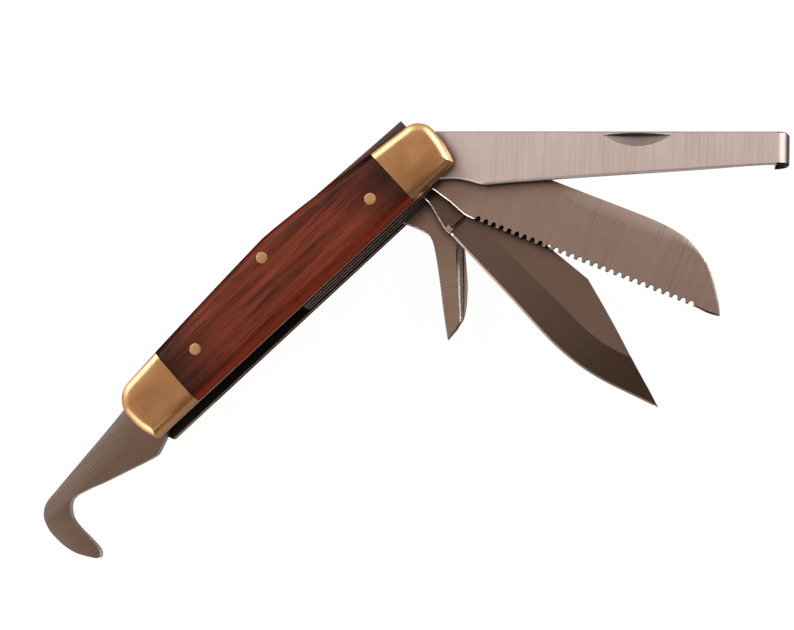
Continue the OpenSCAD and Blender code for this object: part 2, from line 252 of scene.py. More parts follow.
def cut(obj: Thing, cutters: Sequence[Thing]) -> None:
    """Take each cutter's shape out of an object, and delete the cutters."""
    for cutter in cutters:
        step = obj.modifiers.new("cut", "BOOLEAN")
        step.operation = "DIFFERENCE"
        step.solver = "EXACT"
        step.object = cutter
    settle(obj)
    for cutter in cutters:
        bpy.data.objects.remove(cutter)


def soften(obj: Thing, width: float, degrees: float = 35.0, segments: int = 2) -> None:
    """Round an object's sharp edges.

    Args:
        obj: The object.
        width: Width of the rounding in millimetres.
        degrees: Edges that turn less than this stay as they are.
        segments: Faces across the rounding.
    """
    step = obj.modifiers.new("soften", "BEVEL")
    step.width = width * MM
    step.segments = segments
    step.limit_method = "ANGLE"
    step.angle_limit = math.radians(degrees)
    step.use_clamp_overlap = True
    settle(obj)


def rod(name: str, centre: Solid, radius: float, length: float, sides: int = 64) -> Thing:
    """An upright cylinder.

    Args:
        name: The object's name.
        centre: Its middle in millimetres.
        radius: Its radius.
        length: Its height.
        sides: Faces round it.

    Returns:
        The object.
    """
    mesh = bmesh.new()
    bmesh.ops.create_cone(
        mesh,
        cap_ends=True,
        segments=sides,
        radius1=radius * MM,
        radius2=radius * MM,
        depth=length * MM,
        matrix=Matrix.Translation(Vector(centre) * MM),
    )
    return as_object(mesh, name)


def own(obj: Thing, body: str, slot: str, *nodes: str) -> None:
    """Let a piece ride on a body and stand for CAD nodes.

    Args:
        obj: The finished piece.
        body: The body it moves with.
        slot: The record's material slot; not used.
        *nodes: The CAD nodes that it replaces.
    """
    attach(obj, body)
    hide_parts(*nodes)
    LOG.info("%s: %d faces on %s", obj.name, len(obj.data.polygons), body)


# ---------------------------------------------------------------- materials


def add(tree: Tree, kind: str, inputs: dict | None = None, **settings: object) -> Node:
    """Add a node with its settings, values and links.

    Args:
        tree: The node tree.
        kind: The node's type.
        inputs: Input name or number to a value or to the output socket that feeds it.
        **settings: Properties of the node.

    Returns:
        The node.
    """
    node = tree.nodes.new(kind)
    for key, value in settings.items():
        setattr(node, key, value)
    for key, value in (inputs or {}).items():
        if isinstance(value, Socket):
            tree.links.new(value, node.inputs[key])
        else:
            node.inputs[key].default_value = value
    return node


def ramp(tree: Tree, source: Socket, stops: Sequence[tuple[float, str]]) -> Socket:
    """A colour ramp through hex colours.

    Args:
        tree: The node tree.
        source: The socket that drives it.
        stops: Positions and hex colours in order.

    Returns:
        The colour output.
    """
    node = add(tree, "ShaderNodeValToRGB", {"Fac": source})
    elements = node.color_ramp.elements
    while len(elements) < len(stops):
        elements.new(0.5)
    for element, (position, code) in zip(elements, stops):
        element.position = position
        element.color = to_linear(code)
    return node.outputs["Color"]


def grain(
    tree: Tree,
    sizes: Solid,
    turn: float = 0.0,
    centre: Flat = (0.0, 0.0),
    detail: float = 3.0,
    roughness: float = 0.55,
    distortion: float = 0.0,
) -> Socket:
    """Noise whose features have real sizes along a turned set of axes.

    Args:
        tree: The node tree.
        sizes: Feature sizes in millimetres along, across and through.
        turn: Angle of the long axis in the row frame, in degrees.
        centre: Where the axes cross, in millimetres.
        detail: Octaves of finer noise.
        roughness: Strength of the finer octaves.
        distortion: How far the noise is pulled about.

    Returns:
        The noise value.
    """
    place = add(tree, "ShaderNodeTexCoord")
    mapping = add(
        tree,
        "ShaderNodeMapping",
        {
            "Vector": place.outputs["Object"],
            "Location": (centre[0] * MM, centre[1] * MM, 0.0),
            "Rotation": (0.0, 0.0, math.radians(turn)),
            "Scale": tuple(s * MM for s in sizes),
        },
        vector_type="TEXTURE",
    )
    noise = add(
        tree,
        "ShaderNodeTexNoise",
        {
            "Vector": mapping.outputs["Vector"],
            "Scale": 1.0,
            "Detail": detail,
            "Roughness": roughness,
            "Distortion": distortion,
        },
    )
    return noise.outputs["Fac"]


def spread(
    tree: Tree, source: Socket, low: float, high: float, to_low: float = 0.0, to_high: float = 1.0
) -> Socket:
    """Map a value from one range to another, held at the ends.

    Args:
        tree: The node tree.
        source: The value.
        low: Start of the range it comes from.
        high: End of that range.
        to_low: What the start becomes.
        to_high: What the end becomes.

    Returns:
        The mapped value.
    """
    node = add(
        tree,
        "ShaderNodeMapRange",
        {"Value": source, "From Min": low, "From Max": high, "To Min": to_low, "To Max": to_high},
    )
    return node.outputs["Result"]


def sums(tree: Tree, operation: str, first: Socket | float, second: Socket | float = 0.0) -> Socket:
    """Work out one number from two in a node tree."""
    return add(tree, "ShaderNodeMath", {0: first, 1: second}, operation=operation).outputs[0]


def tint(tree: Tree, kind: str, factor: Socket | float, first: Socket, code: str) -> Socket:
    """Blend a hex colour into a colour.

    Args:
        tree: The node tree.
        kind: The blend mode.
        factor: How much of it shows.
        first: The colour it is blended into.
        code: The hex colour.

    Returns:
        The blended colour.
    """
    inputs = {0: factor, 6: first, 7: to_linear(code)}
    return add(tree, "ShaderNodeMix", inputs, data_type="RGBA", blend_type=kind).outputs[2]


def blank_material(name: str) -> tuple[Material, Tree, Node]:
    """A new material with a lone principled shader.

    Args:
        name: The material's name.

    Returns:
        The material, its tree and the shader.
    """
    material = bpy.data.materials.new(name)
    material.use_nodes = True
    tree = material.node_tree
    tree.nodes.clear()
    shader = add(tree, "ShaderNodeBsdfPrincipled")
    add(tree, "ShaderNodeOutputMaterial", {"Surface": shader.outputs["BSDF"]})
    return material, tree, shader


def relief(
    tree: Tree, shader: Node, source: Socket, depth: float, strength: float = 1.0
) -> None:
    """Give a shader bump from a pattern.

    Args:
        tree: The node tree.
        shader: The principled shader.
        source: Height pattern from 0 to 1.
        depth: Depth of the pattern in millimetres.
        strength: Share of the bump that shows.
    """
    inputs = {"Height": source, "Distance": depth * MM, "Strength": strength}
    bump = add(tree, "ShaderNodeBump", inputs)
    tree.links.new(bump.outputs["Normal"], shader.inputs["Normal"])


class Lay(Enum):
    """Which way a metal's grinding lines run on a tool."""

    ACROSS = "across"
    ALONG = "along"


@dataclass(frozen=True)
class GroundSteel:
    """Carbon steel ground on a belt: fine parallel lines that stretch the shine across them.

    A mesh's "tone" attribute paints shade where it is above 0, and a painted highlight where it is
    below 0. Where another part lies close by, an ambient occlusion pass paints a contact shadow
    into the colour.
    """

    name: str
    dark: str
    light: str
    lay: Lay = Lay.ACROSS
    turn: float = 0.0
    centre: Flat = (0.0, 0.0)
    line_width: float = 0.22
    line_length: float = 22.0
    patch: float = 18.0
    roughness: float = 0.3
    line_depth: float = 0.0
    contact: float = 2.6
    honed: str = "#f2ebe6"
    shade: str = "#7c7673"
    deep_shade: str = "#4a4442"
    contact_shade: str = "#2c2623"
    line_spread: Flat = (-0.03, 0.04)
    highlight_rough: float = 0.2

    def build(self) -> Material:
        """Make the material."""
        material, tree, shader = blank_material(self.name)
        run, across = self.line_length, self.line_width
        sizes = (run, across, run) if self.lay is Lay.ALONG else (across, run, run)
        lines = grain(tree, sizes, self.turn, self.centre, 2.0, 0.6)
        patches = grain(tree, (self.patch,) * 3, self.turn, self.centre, 2.0, 0.5, 0.6)
        both = add(tree, "ShaderNodeMix", {0: 0.6, 2: lines, 3: patches}).outputs[0]
        colour = ramp(tree, both, [(0.34, self.dark), (0.66, self.light)])
        tone = add(tree, "ShaderNodeAttribute", attribute_name=STEEL_PAINTED_LIGHT).outputs["Fac"]
        # painted shade where the tone is above 0, and deeper painted shade where it is above 1
        colour = tint(tree, "MULTIPLY", spread(tree, tone, 0.0, 1.0), colour, self.shade)
        colour = tint(tree, "MULTIPLY", spread(tree, tone, 1.0, 2.0), colour, self.deep_shade)
        # painted contact shadow: ambient occlusion darkens the colour close to other parts
        near = add(tree, "ShaderNodeAmbientOcclusion", {"Distance": self.contact * MM}, samples=8)
        contact = spread(tree, near.outputs["AO"], 0.97, 0.45, 0.0, 0.9)
        colour = tint(tree, "MULTIPLY", contact, colour, self.contact_shade)
        # painted highlight where the tone is below 0
        highlight_share = spread(tree, tone, 0.0, -1.0)
        colour = tint(tree, "MIX", highlight_share, colour, self.honed)
        tree.links.new(colour, shader.inputs["Base Color"])
        shader.inputs["Metallic"].default_value = 1.0
        less, more = self.line_spread
        rough = spread(tree, lines, 0.3, 0.7, self.roughness + less, self.roughness + more)
        rough = sums(tree, "ADD", rough, sums(tree, "MULTIPLY", highlight_share, self.highlight_rough))
        tree.links.new(rough, shader.inputs["Roughness"])
        if self.line_depth:
            relief(tree, shader, lines, self.line_depth)
        return material


@dataclass(frozen=True)
class CastBrass:
    """Yellow brass, sanded and buffed: warm, softly scratched, with duller patches."""

    name: str = "buffed brass"
    dark: str = "#c29465"
    light: str = "#cfa172"
    scratch: str = "#dcb88c"
    roughness: float = 0.38
    patch_spread: Flat = (-0.03, 0.04)
    scratch_depth: float = 0.002

    def build(self) -> Material:
        """Make the material."""
        material, tree, shader = blank_material(self.name)
        patches = grain(tree, (9.0, 7.0, 7.0), 12.0, (0.0, 0.0), 2.0, 0.5, 0.3)
        hairs = grain(tree, (9.0, 0.3, 3.0), 72.0, (0.0, 0.0), 2.0, 0.6)
        tone = ramp(tree, patches, [(0.32, self.dark), (0.68, self.light)])
        fine = spread(tree, hairs, 0.6, 0.8, 0.0, 0.35)
        tone = tint(tree, "MIX", fine, tone, self.scratch)
        tree.links.new(tone, shader.inputs["Base Color"])
        shader.inputs["Metallic"].default_value = 1.0
        less, more = self.patch_spread
        rough = spread(tree, patches, 0.3, 0.7, self.roughness + less, self.roughness + more)
        tree.links.new(rough, shader.inputs["Roughness"])
        relief(tree, shader, hairs, self.scratch_depth)
        return material


@dataclass(frozen=True)
class OiledRosewood:
    """Red-brown tropical hardwood, sanded and oiled: long dark growth streaks and open pores."""

    name: str = "oiled rosewood"
    heart: str = "#2c0f08"
    brown: str = "#4c1f11"
    red: str = "#6a2b1a"
    pale: str = "#7c3823"
    pore: str = "#140806"
    mouth_highlight: str = "#9a4530"
    end_shade: str = "#85949e"
    back_shade: str = "#5a4a46"
    middle: float = 11.2
    rim_from: float = 11.05
    rim_to: float = 9.6
    dull_to: float = 10.75
    rim_reach: float = 2.0
    mouth_highlight_share: float = 0.7
    shade_from: float = 20.0
    shade_to: float = 37.0
    pore_depth: float = 0.05

    def figure(self, tree: Tree) -> tuple[Socket, Socket, Socket]:
        """The wood's growth streaks, warm clouds, open pores and dark flecks.

        Returns:
            The colour, the growth bands and the open pores.
        """
        bands = grain(tree, (46.0, 2.6, 3.0), 1.5, (0.0, 0.0), 4.0, 0.62, 0.5)
        stops = [(0.3, self.heart), (0.42, self.brown), (0.56, self.red), (0.74, self.pale)]
        tone = ramp(tree, bands, stops)
        clouds = grain(tree, (20.0, 6.0, 8.0), -6.0, (3.0, 1.0), 2.0, 0.5, 0.4)
        warm = spread(tree, clouds, 0.4, 0.65, 0.0, 0.55)
        tone = tint(tree, "MIX", warm, tone, self.red)
        pores = grain(tree, (7.0, 0.34, 0.8), 1.0, (0.0, 0.0), 3.0, 0.65)
        open_pores = spread(tree, pores, 0.6, 0.7, 0.0, 0.75)
        tone = tint(tree, "MIX", open_pores, tone, self.pore)
        flecks = grain(tree, (11.0, 0.55, 1.6), 2.0, (5.0, 2.0), 2.0, 0.55, 0.3)
        tone = tint(tree, "MIX", spread(tree, flecks, 0.59, 0.66, 0.0, 0.8), tone, self.heart)
        return tone, bands, open_pores

    def build(self) -> Material:
        """Make the material: darker at both ends, with painted shade on the back rim and a painted
        highlight on the front scale's mouth rim.
        """
        material, tree, shader = blank_material(self.name)
        tone, bands, open_pores = self.figure(tree)
        place = add(tree, "ShaderNodeTexCoord")
        parts = add(tree, "ShaderNodeSeparateXYZ", {0: place.outputs["Object"]}).outputs
        away = sums(tree, "ABSOLUTE", parts["X"])
        ends = spread(tree, away, self.shade_from * MM, self.shade_to * MM)
        tone = tint(tree, "MULTIPLY", ends, tone, self.end_shade)
        level = sums(tree, "SUBTRACT", parts["Z"], self.middle * MM)
        out = sums(tree, "ABSOLUTE", level)
        rim = spread(tree, out, self.rim_from * MM, self.rim_to * MM)
        # painted shade along the back rim
        back_rim = sums(tree, "MULTIPLY", rim, spread(tree, parts["Y"], 0.0, self.rim_reach * MM))
        tone = tint(tree, "MULTIPLY", back_rim, tone, self.back_shade)
        # painted highlight along the front scale's mouth rim
        front = spread(tree, level, 0.0, MM, 0.0, self.mouth_highlight_share)
        mouth_rim = sums(tree, "MULTIPLY", rim, spread(tree, parts["Y"], 0.0, -self.rim_reach * MM))
        tone = tint(tree, "MIX", sums(tree, "MULTIPLY", mouth_rim, front), tone, self.mouth_highlight)
        tree.links.new(tone, shader.inputs["Base Color"])
        tree.links.new(spread(tree, bands, 0.3, 0.7, 0.42, 0.56), shader.inputs["Roughness"])
        dull = spread(tree, out, self.rim_from * MM, self.dull_to * MM)
        tree.links.new(spread(tree, dull, 0.0, 1.0, 1.45, 1.05), shader.inputs["IOR"])
        tree.links.new(spread(tree, dull, 0.0, 1.0, 0.2, 0.0), shader.inputs["Specular IOR Level"])
        relief(tree, shader, sums(tree, "SUBTRACT", bands, open_pores), self.pore_depth, 0.6)
        return material


@dataclass(frozen=True)
class PalePaper:
    """Seamless background paper, lit from below to an even white that swallows most shadows."""

    name: str = "background paper"
    dark: str = "#b4b2b0"
    light: str = "#bebcba"
    glow: float = 1.12
    share: float = 0.86

    def build(self) -> Material:
        """Make the material."""
        material, tree, shader = blank_material(self.name)
        fibre = grain(tree, (1.5, 1.5, 1.5), 0.0, (0.0, 0.0), 2.0)
        tone = ramp(tree, fibre, [(0.3, self.dark), (0.7, self.light)])
        tree.links.new(tone, shader.inputs["Base Color"])
        shader.inputs["Roughness"].default_value = 0.9
        shader.inputs["Specular IOR Level"].default_value = 0.0
        seen = add(tree, "ShaderNodeLightPath").outputs["Is Camera Ray"]
        part = sums(tree, "MULTIPLY", seen, self.share)
        glow = add(tree, "ShaderNodeEmission", {"Strength": self.glow})
        both = {0: part, 1: shader.outputs["BSDF"], 2: glow.outputs[0]}
        mixed = add(tree, "ShaderNodeMixShader", both)
        out = next(n for n in tree.nodes if n.bl_idname == "ShaderNodeOutputMaterial")
        tree.links.new(mixed.outputs[0], out.inputs["Surface"])
        return material


# ---------------------------------------------------------------- node trees for what repeats


def new_tree(name: str, sockets: Sequence[tuple[str, str]]) -> tuple[Tree, Node, Node]:
    """A geometry node tree with named inputs and one geometry output.

    Args:
        name: The tree's name.
        sockets: Input names and socket types, after the geometry.

    Returns:
        The tree, its input node and its output node.
    """
    tree = bpy.data.node_groups.new(name, "GeometryNodeTree")
    tree.interface.new_socket("Geometry", in_out="INPUT", socket_type="NodeSocketGeometry")
    for label, kind in sockets:
        tree.interface.new_socket(label, in_out="INPUT", socket_type=kind)
    tree.interface.new_socket("Geometry", in_out="OUTPUT", socket_type="NodeSocketGeometry")
    return tree, add(tree, "NodeGroupInput"), add(tree, "NodeGroupOutput")


def finish_tree(tree: Tree, shape: Socket, dress: Socket, out: Node) -> None:
    """End a tree in Realize Instances and Set Material."""
    real = add(tree, "GeometryNodeRealizeInstances", {0: shape})
    dressed = add(tree, "GeometryNodeSetMaterial", {"Geometry": real.outputs[0], "Material": dress})
    tree.links.new(dressed.outputs[0], out.inputs[0])


def run_tree(obj: Thing, tree: Tree, values: dict) -> None:
    """Run a geometry node tree on an object and keep only its mesh.

    Args:
        obj: The object.
        tree: The node tree.
        values: Input names and their values.
    """
    step = obj.modifiers.new(tree.name, "NODES")
    step.node_group = tree
    for item in tree.interface.items_tree:
        if item.in_out == "INPUT" and item.name in values:
            step[item.identifier] = values[item.name]
    settle(obj)


def gullet_tree() -> Tree:
    """Cut a row of round gullets out of a blade, which leaves its saw teeth."""
    tree, given, out = new_tree(
        "saw gullets",
        [
            ("Count", "NodeSocketInt"),
            ("First", "NodeSocketVector"),
            ("Step", "NodeSocketVector"),
            ("Turn", "NodeSocketVector"),
            ("Shape", "NodeSocketVector"),
            ("Material", "NodeSocketMaterial"),
        ],
    )
    line = add(
        tree,
        "GeometryNodeMeshLine",
        {
            "Count": given.outputs["Count"],
            "Start Location": given.outputs["First"],
            "Offset": given.outputs["Step"],
        },
        mode="OFFSET",
    )
    round_sizes = {"Vertices": 24, "Radius": 1.0, "Depth": 2.0}
    round_cutter = add(tree, "GeometryNodeMeshCylinder", round_sizes)
    row = add(
        tree,
        "GeometryNodeInstanceOnPoints",
        {
            "Points": line.outputs[0],
            "Instance": round_cutter.outputs["Mesh"],
            "Rotation": given.outputs["Turn"],
            "Scale": given.outputs["Shape"],
        },
    )
    cutters = add(tree, "GeometryNodeRealizeInstances", {0: row.outputs[0]})
    toothed = add(tree, "GeometryNodeMeshBoolean", operation="DIFFERENCE", solver="EXACT")
    tree.links.new(given.outputs["Geometry"], toothed.inputs["Mesh 1"])
    tree.links.new(cutters.outputs[0], toothed.inputs["Mesh 2"])
    finish_tree(tree, toothed.outputs[0], given.outputs["Material"], out)
    return tree


def pin_tree() -> Tree:
    """Stand a peened pin with softly domed ends on every point of a mesh."""
    tree, given, out = new_tree(
        "peened pins",
        [
            ("Radius", "NodeSocketFloat"),
            ("Length", "NodeSocketFloat"),
            ("Dome", "NodeSocketFloat"),
            ("Material", "NodeSocketMaterial"),
        ],
    )
    shank = add(
        tree,
        "GeometryNodeMeshCylinder",
        {
            "Vertices": 48,
            "Side Segments": 1,
            "Fill Segments": 8,
            "Radius": given.outputs["Radius"],
            "Depth": given.outputs["Length"],
        },
    )
    where = add(tree, "GeometryNodeInputPosition")
    parts = add(tree, "ShaderNodeSeparateXYZ", {0: where.outputs[0]})
    flat = add(tree, "ShaderNodeCombineXYZ", {0: parts.outputs["X"], 1: parts.outputs["Y"]})
    reach = add(tree, "ShaderNodeVectorMath", {0: flat.outputs[0]}, operation="LENGTH")
    share = sums(tree, "DIVIDE", reach.outputs["Value"], given.outputs["Radius"])
    steep = sums(tree, "POWER", share, 5.0)
    drop = sums(tree, "MULTIPLY", steep, given.outputs["Dome"])
    signed = sums(tree, "MULTIPLY", drop, sums(tree, "SIGN", parts.outputs["Z"]))
    shift = add(tree, "ShaderNodeCombineXYZ", {2: sums(tree, "MULTIPLY", signed, -1.0)})
    moved = {"Geometry": shank.outputs["Mesh"], "Offset": shift.outputs[0]}
    domed = add(tree, "GeometryNodeSetPosition", moved)
    every = {"Points": given.outputs["Geometry"], "Instance": domed.outputs[0]}
    placed = add(tree, "GeometryNodeInstanceOnPoints", every)
    finish_tree(tree, placed.outputs[0], given.outputs["Material"], out)
    return tree


# ---------------------------------------------------------------- the handle


class Side(Enum):
    """The two faces of the knife: the front is up and the back rests on the floor."""

    FRONT = "front"
    BACK = "back"


class Cap(Enum):
    """The two bolstered ends: the blades' end is at +X and the pick's at -X."""

    BLADE = 1
    PICK = -1


@dataclass(frozen=True)
class End:
    """One end of the handle: its height and corner, and where its bolster meets the scale."""

    top_y: float
    corner_r: float
    joint_x: float
    joint_y: float
    fall: float


@dataclass
class Handle:
    """Scales, bolsters, pins, liners, dividers and springs."""

    half_len: float = 54.0
    mouth_y: float = -8.2
    crown: Flat = (3.0, 11.5)
    ends: dict[Cap, End] = field(
        default_factory=lambda: {
            Cap.BLADE: End(top_y=7.1, corner_r=5.2, joint_x=38.0, joint_y=8.2, fall=1.3),
            Cap.PICK: End(top_y=7.9, corner_r=6.4, joint_x=37.5, joint_y=8.8, fall=1.1),
        }
    )
    end_bulge: float = 1.9
    scale_t: float = 4.5
    total_t: float = 22.4
    round_in: float = 2.8
    round_down: float = 3.0
    crest: float = 0.08
    brow: tuple[Flat, Flat, Flat] = ((0.7, 0.045), (1.5, 0.015), (2.2, 0.0))
    joint_gap: float = 0.07
    pin_r: float = 1.5
    pin_gap: float = 0.07
    centre_pin: Flat = (-0.4, 7.2)
    rivets: tuple[Flat, Flat] = ((-28.9, 1.5), (30.2, -0.9))
    pin_dome: float = 0.05
    steel_round: float = 0.12
    liner_t: float = 0.8
    joint_break: float = 0.25
    joint_drop: float = 1.6
    scale_steps: int = 72

    def back_y(self, x: float) -> float:
        """Height of the back at x, between the two bolsters."""
        peak_x, peak_y = self.crown
        end = self.ends[Cap.BLADE if x > peak_x else Cap.PICK]
        run = end.joint_x - math.copysign(peak_x, x - peak_x)
        return peak_y - (peak_y - end.joint_y) * (abs(x - peak_x) / run) ** end.fall

    def edge_rise(self) -> list[Flat]:
        """How the outer edge rounds over.

        Returns:
            Pairs of inset and height, from the side wall to the flat of the top.
        """
        low = self.scale_t - self.crest - self.round_down
        turns = [math.radians(9 * i) for i in range(11)]
        turn = [
            (self.round_in * (1 - math.cos(a)), low + self.round_down * math.sin(a)) for a in turns
        ]
        brow = [(self.round_in + e, self.scale_t - drop) for e, drop in self.brow]
        return [(0.0, 0.0), *turn, *brow]

    def height(self, side: Side, z: float) -> float:
        """Height in the row frame of a point z above a cover's inner face."""
        return self.total_t - self.scale_t + z if side is Side.FRONT else self.scale_t - z

    def scale(self, side: Side) -> Thing:
        """One wooden scale, lofted from bolster to bolster, with holes for its pins."""
        rise = self.edge_rise()
        low = self.joint_gap - self.ends[Cap.PICK].joint_x
        high = self.ends[Cap.BLADE].joint_x - self.joint_gap
        steps = self.scale_steps
        xs = [low, low + 0.1, low + 0.25]
        xs += [low + 1 + (high - low - 2) * i / steps for i in range(steps + 1)]
        xs += [high - 0.25, high - 0.1, high]
        rings = []
        for x in xs:
            near_end = max(0.0, self.joint_break - min(high - x, x - low))
            fall = self.joint_drop * near_end**2 / self.joint_break
            back = self.back_y(x)
            across = [(e, self.height(side, max(z - fall, 0.0))) for e, z in rise]
            mouth_side = [(x, self.mouth_y + e, z) for e, z in across]
            back_side = [(x, back - e, z) for e, z in reversed(across)]
            rings.append(mouth_side + back_side)
        obj = as_object(loft(rings), f"{side.value}_rosewood_scale")
        middle = self.height(side, self.scale_t / 2)
        holes = [
            rod("hole", (x, y, middle), self.pin_r + self.pin_gap, self.scale_t * 3)
            for x, y in (self.centre_pin, *self.rivets)
        ]
        cut(obj, holes)
        crisp(obj, 30)
        return obj

    def end_ring(self, cap: Cap, inset: float, z: float) -> Ring:
        """One level of a bolster's outline.

        Args:
            cap: Which end of the handle.
            inset: How far it is drawn in from the outline.
            z: Its height.

        Returns:
            Points from the mouth corner at the joint, round the end, to the back corner.
        """
        end = self.ends[cap]
        cx, cy = self.half_len - end.corner_r, end.top_y - end.corner_r
        rise = cy - self.mouth_y
        big = (self.end_bulge**2 + rise**2) / (2 * self.end_bulge)
        start = -math.degrees(math.asin((rise - inset) / (big - inset)))
        turn = 90 - math.degrees(math.atan2(end.joint_y - end.top_y, cx - end.joint_x))
        turn = 180 - turn if end.joint_y < end.top_y else turn
        points = [(end.joint_x, self.mouth_y + inset)]
        points += arc((self.half_len - big, cy), big - inset, start, 0, 14)
        points += arc((cx, cy), end.corner_r - inset, 6, turn, 14)
        points += [(end.joint_x, end.joint_y - inset)]
        return [(cap.value * x, y, z) for x, y in points]

    def bolster(self, side: Side, cap: Cap) -> Thing:
        """One brass bolster, rounded over everywhere but at its joint with the scale."""
        rings = [self.end_ring(cap, e, self.height(side, z)) for e, z in self.edge_rise()]
        obj = as_object(loft(rings), f"{side.value}_{cap.name.lower()}_brass_bolster")
        crisp(obj, 30)
        return obj

    def pins(
        self,
        name: str,
        places: Sequence[Flat],
        low: float,
        high: float,
        brass: Material,
        tree: Tree,
    ) -> Thing:
        """Brass pins at places, from one level to another.

        Args:
            name: The piece's name.
            places: Their centres.
            low: Their lower end.
            high: Their upper end.
            brass: Their material.
            tree: The node tree that makes them.

        Returns:
            One mesh with all of them.
        """
        mesh = bmesh.new()
        for x, y in places:
            mesh.verts.new((x * MM, y * MM, (low + high) / 2 * MM))
        obj = as_object(mesh, name)
        sizes = {"Radius": self.pin_r * MM, "Length": (high - low) * MM, "Dome": self.pin_dome * MM}
        run_tree(obj, tree, {**sizes, "Material": brass})
        crisp(obj, 40)
        return obj

    def plate(self, node: str, steel: Material) -> Thing:
        """A plate or spring with its sharp edges broken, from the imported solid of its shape."""
        mesh = bmesh.new()
        mesh.from_mesh(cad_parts[node].data)
        bmesh.ops.remove_doubles(mesh, verts=mesh.verts, dist=1e-6)
        flat = math.radians(1)
        bmesh.ops.dissolve_limit(mesh, angle_limit=flat, verts=mesh.verts, edges=mesh.edges)
        obj = as_object(mesh, f"{node}_steel")
        soften(obj, self.steel_round)
        crisp(obj, 30)
        obj.data.materials.clear()
        obj.data.materials.append(steel)
        return obj

    def paint_plate(self, obj: Thing) -> None:
        """Paint shade on a plate's broad faces, which lie against others, and a painted highlight
        on its mouth edge.
        """
        tones = obj.data.attributes.new(STEEL_PAINTED_LIGHT, "FLOAT", "CORNER").data
        for face in obj.data.polygons:
            shade = 1.0 if abs(face.normal.z) > 0.8 else -0.4 * ease(-face.normal.y, 0.3, 0.7)
            for i in face.loop_indices:
                tones[i].value = shade

    def build(self, looks: "Looks") -> None:
        """Make every piece of the handle and dress it."""
        for side in Side:
            wood = self.scale(side)
            wood.data.materials.append(looks.wood)
            own(wood, "handle", "scale_wood", f"{side.value}_scale")
            for cap in Cap:
                metal = self.bolster(side, cap)
                metal.data.materials.append(looks.brass)
                own(metal, "handle", "bolster_brass", f"{side.value}_{cap.name.lower()}_bolster")
        tree = pin_tree()
        inner = self.scale_t + self.liner_t
        total = self.total_t
        pins = self.pins("centre_pin_brass", [self.centre_pin], 0.0, total, looks.pin, tree)
        own(pins, "handle", "pin_brass", "centre_pin")
        for side, low, high in ((Side.FRONT, total - inner, total), (Side.BACK, 0.0, inner)):
            pins = self.pins(f"{side.value}_rivets_brass", self.rivets, low, high, looks.pin, tree)
            own(pins, "handle", "pin_brass", f"{side.value}_scale_rivets")
        dividers = ("hoof_saw_divider", "saw_main_divider", "main_punch_divider")
        for node in ("front_liner", "back_liner", *dividers):
            plate = self.plate(node, looks.plate)
            self.paint_plate(plate)
            own(plate, "handle", "liner_steel", node)
        for node in ("hoof_spring", "saw_spring", "main_spring", "punch_pick_spring"):
            own(self.plate(node, looks.spring), "handle", "spring_steel", node)
        for node in ("blade_pivot_pin", "pick_pivot_pin"):
            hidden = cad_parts[node]
            hidden.data.materials.clear()
            hidden.data.materials.append(looks.pin)


# ---------------------------------------------------------------- the tools


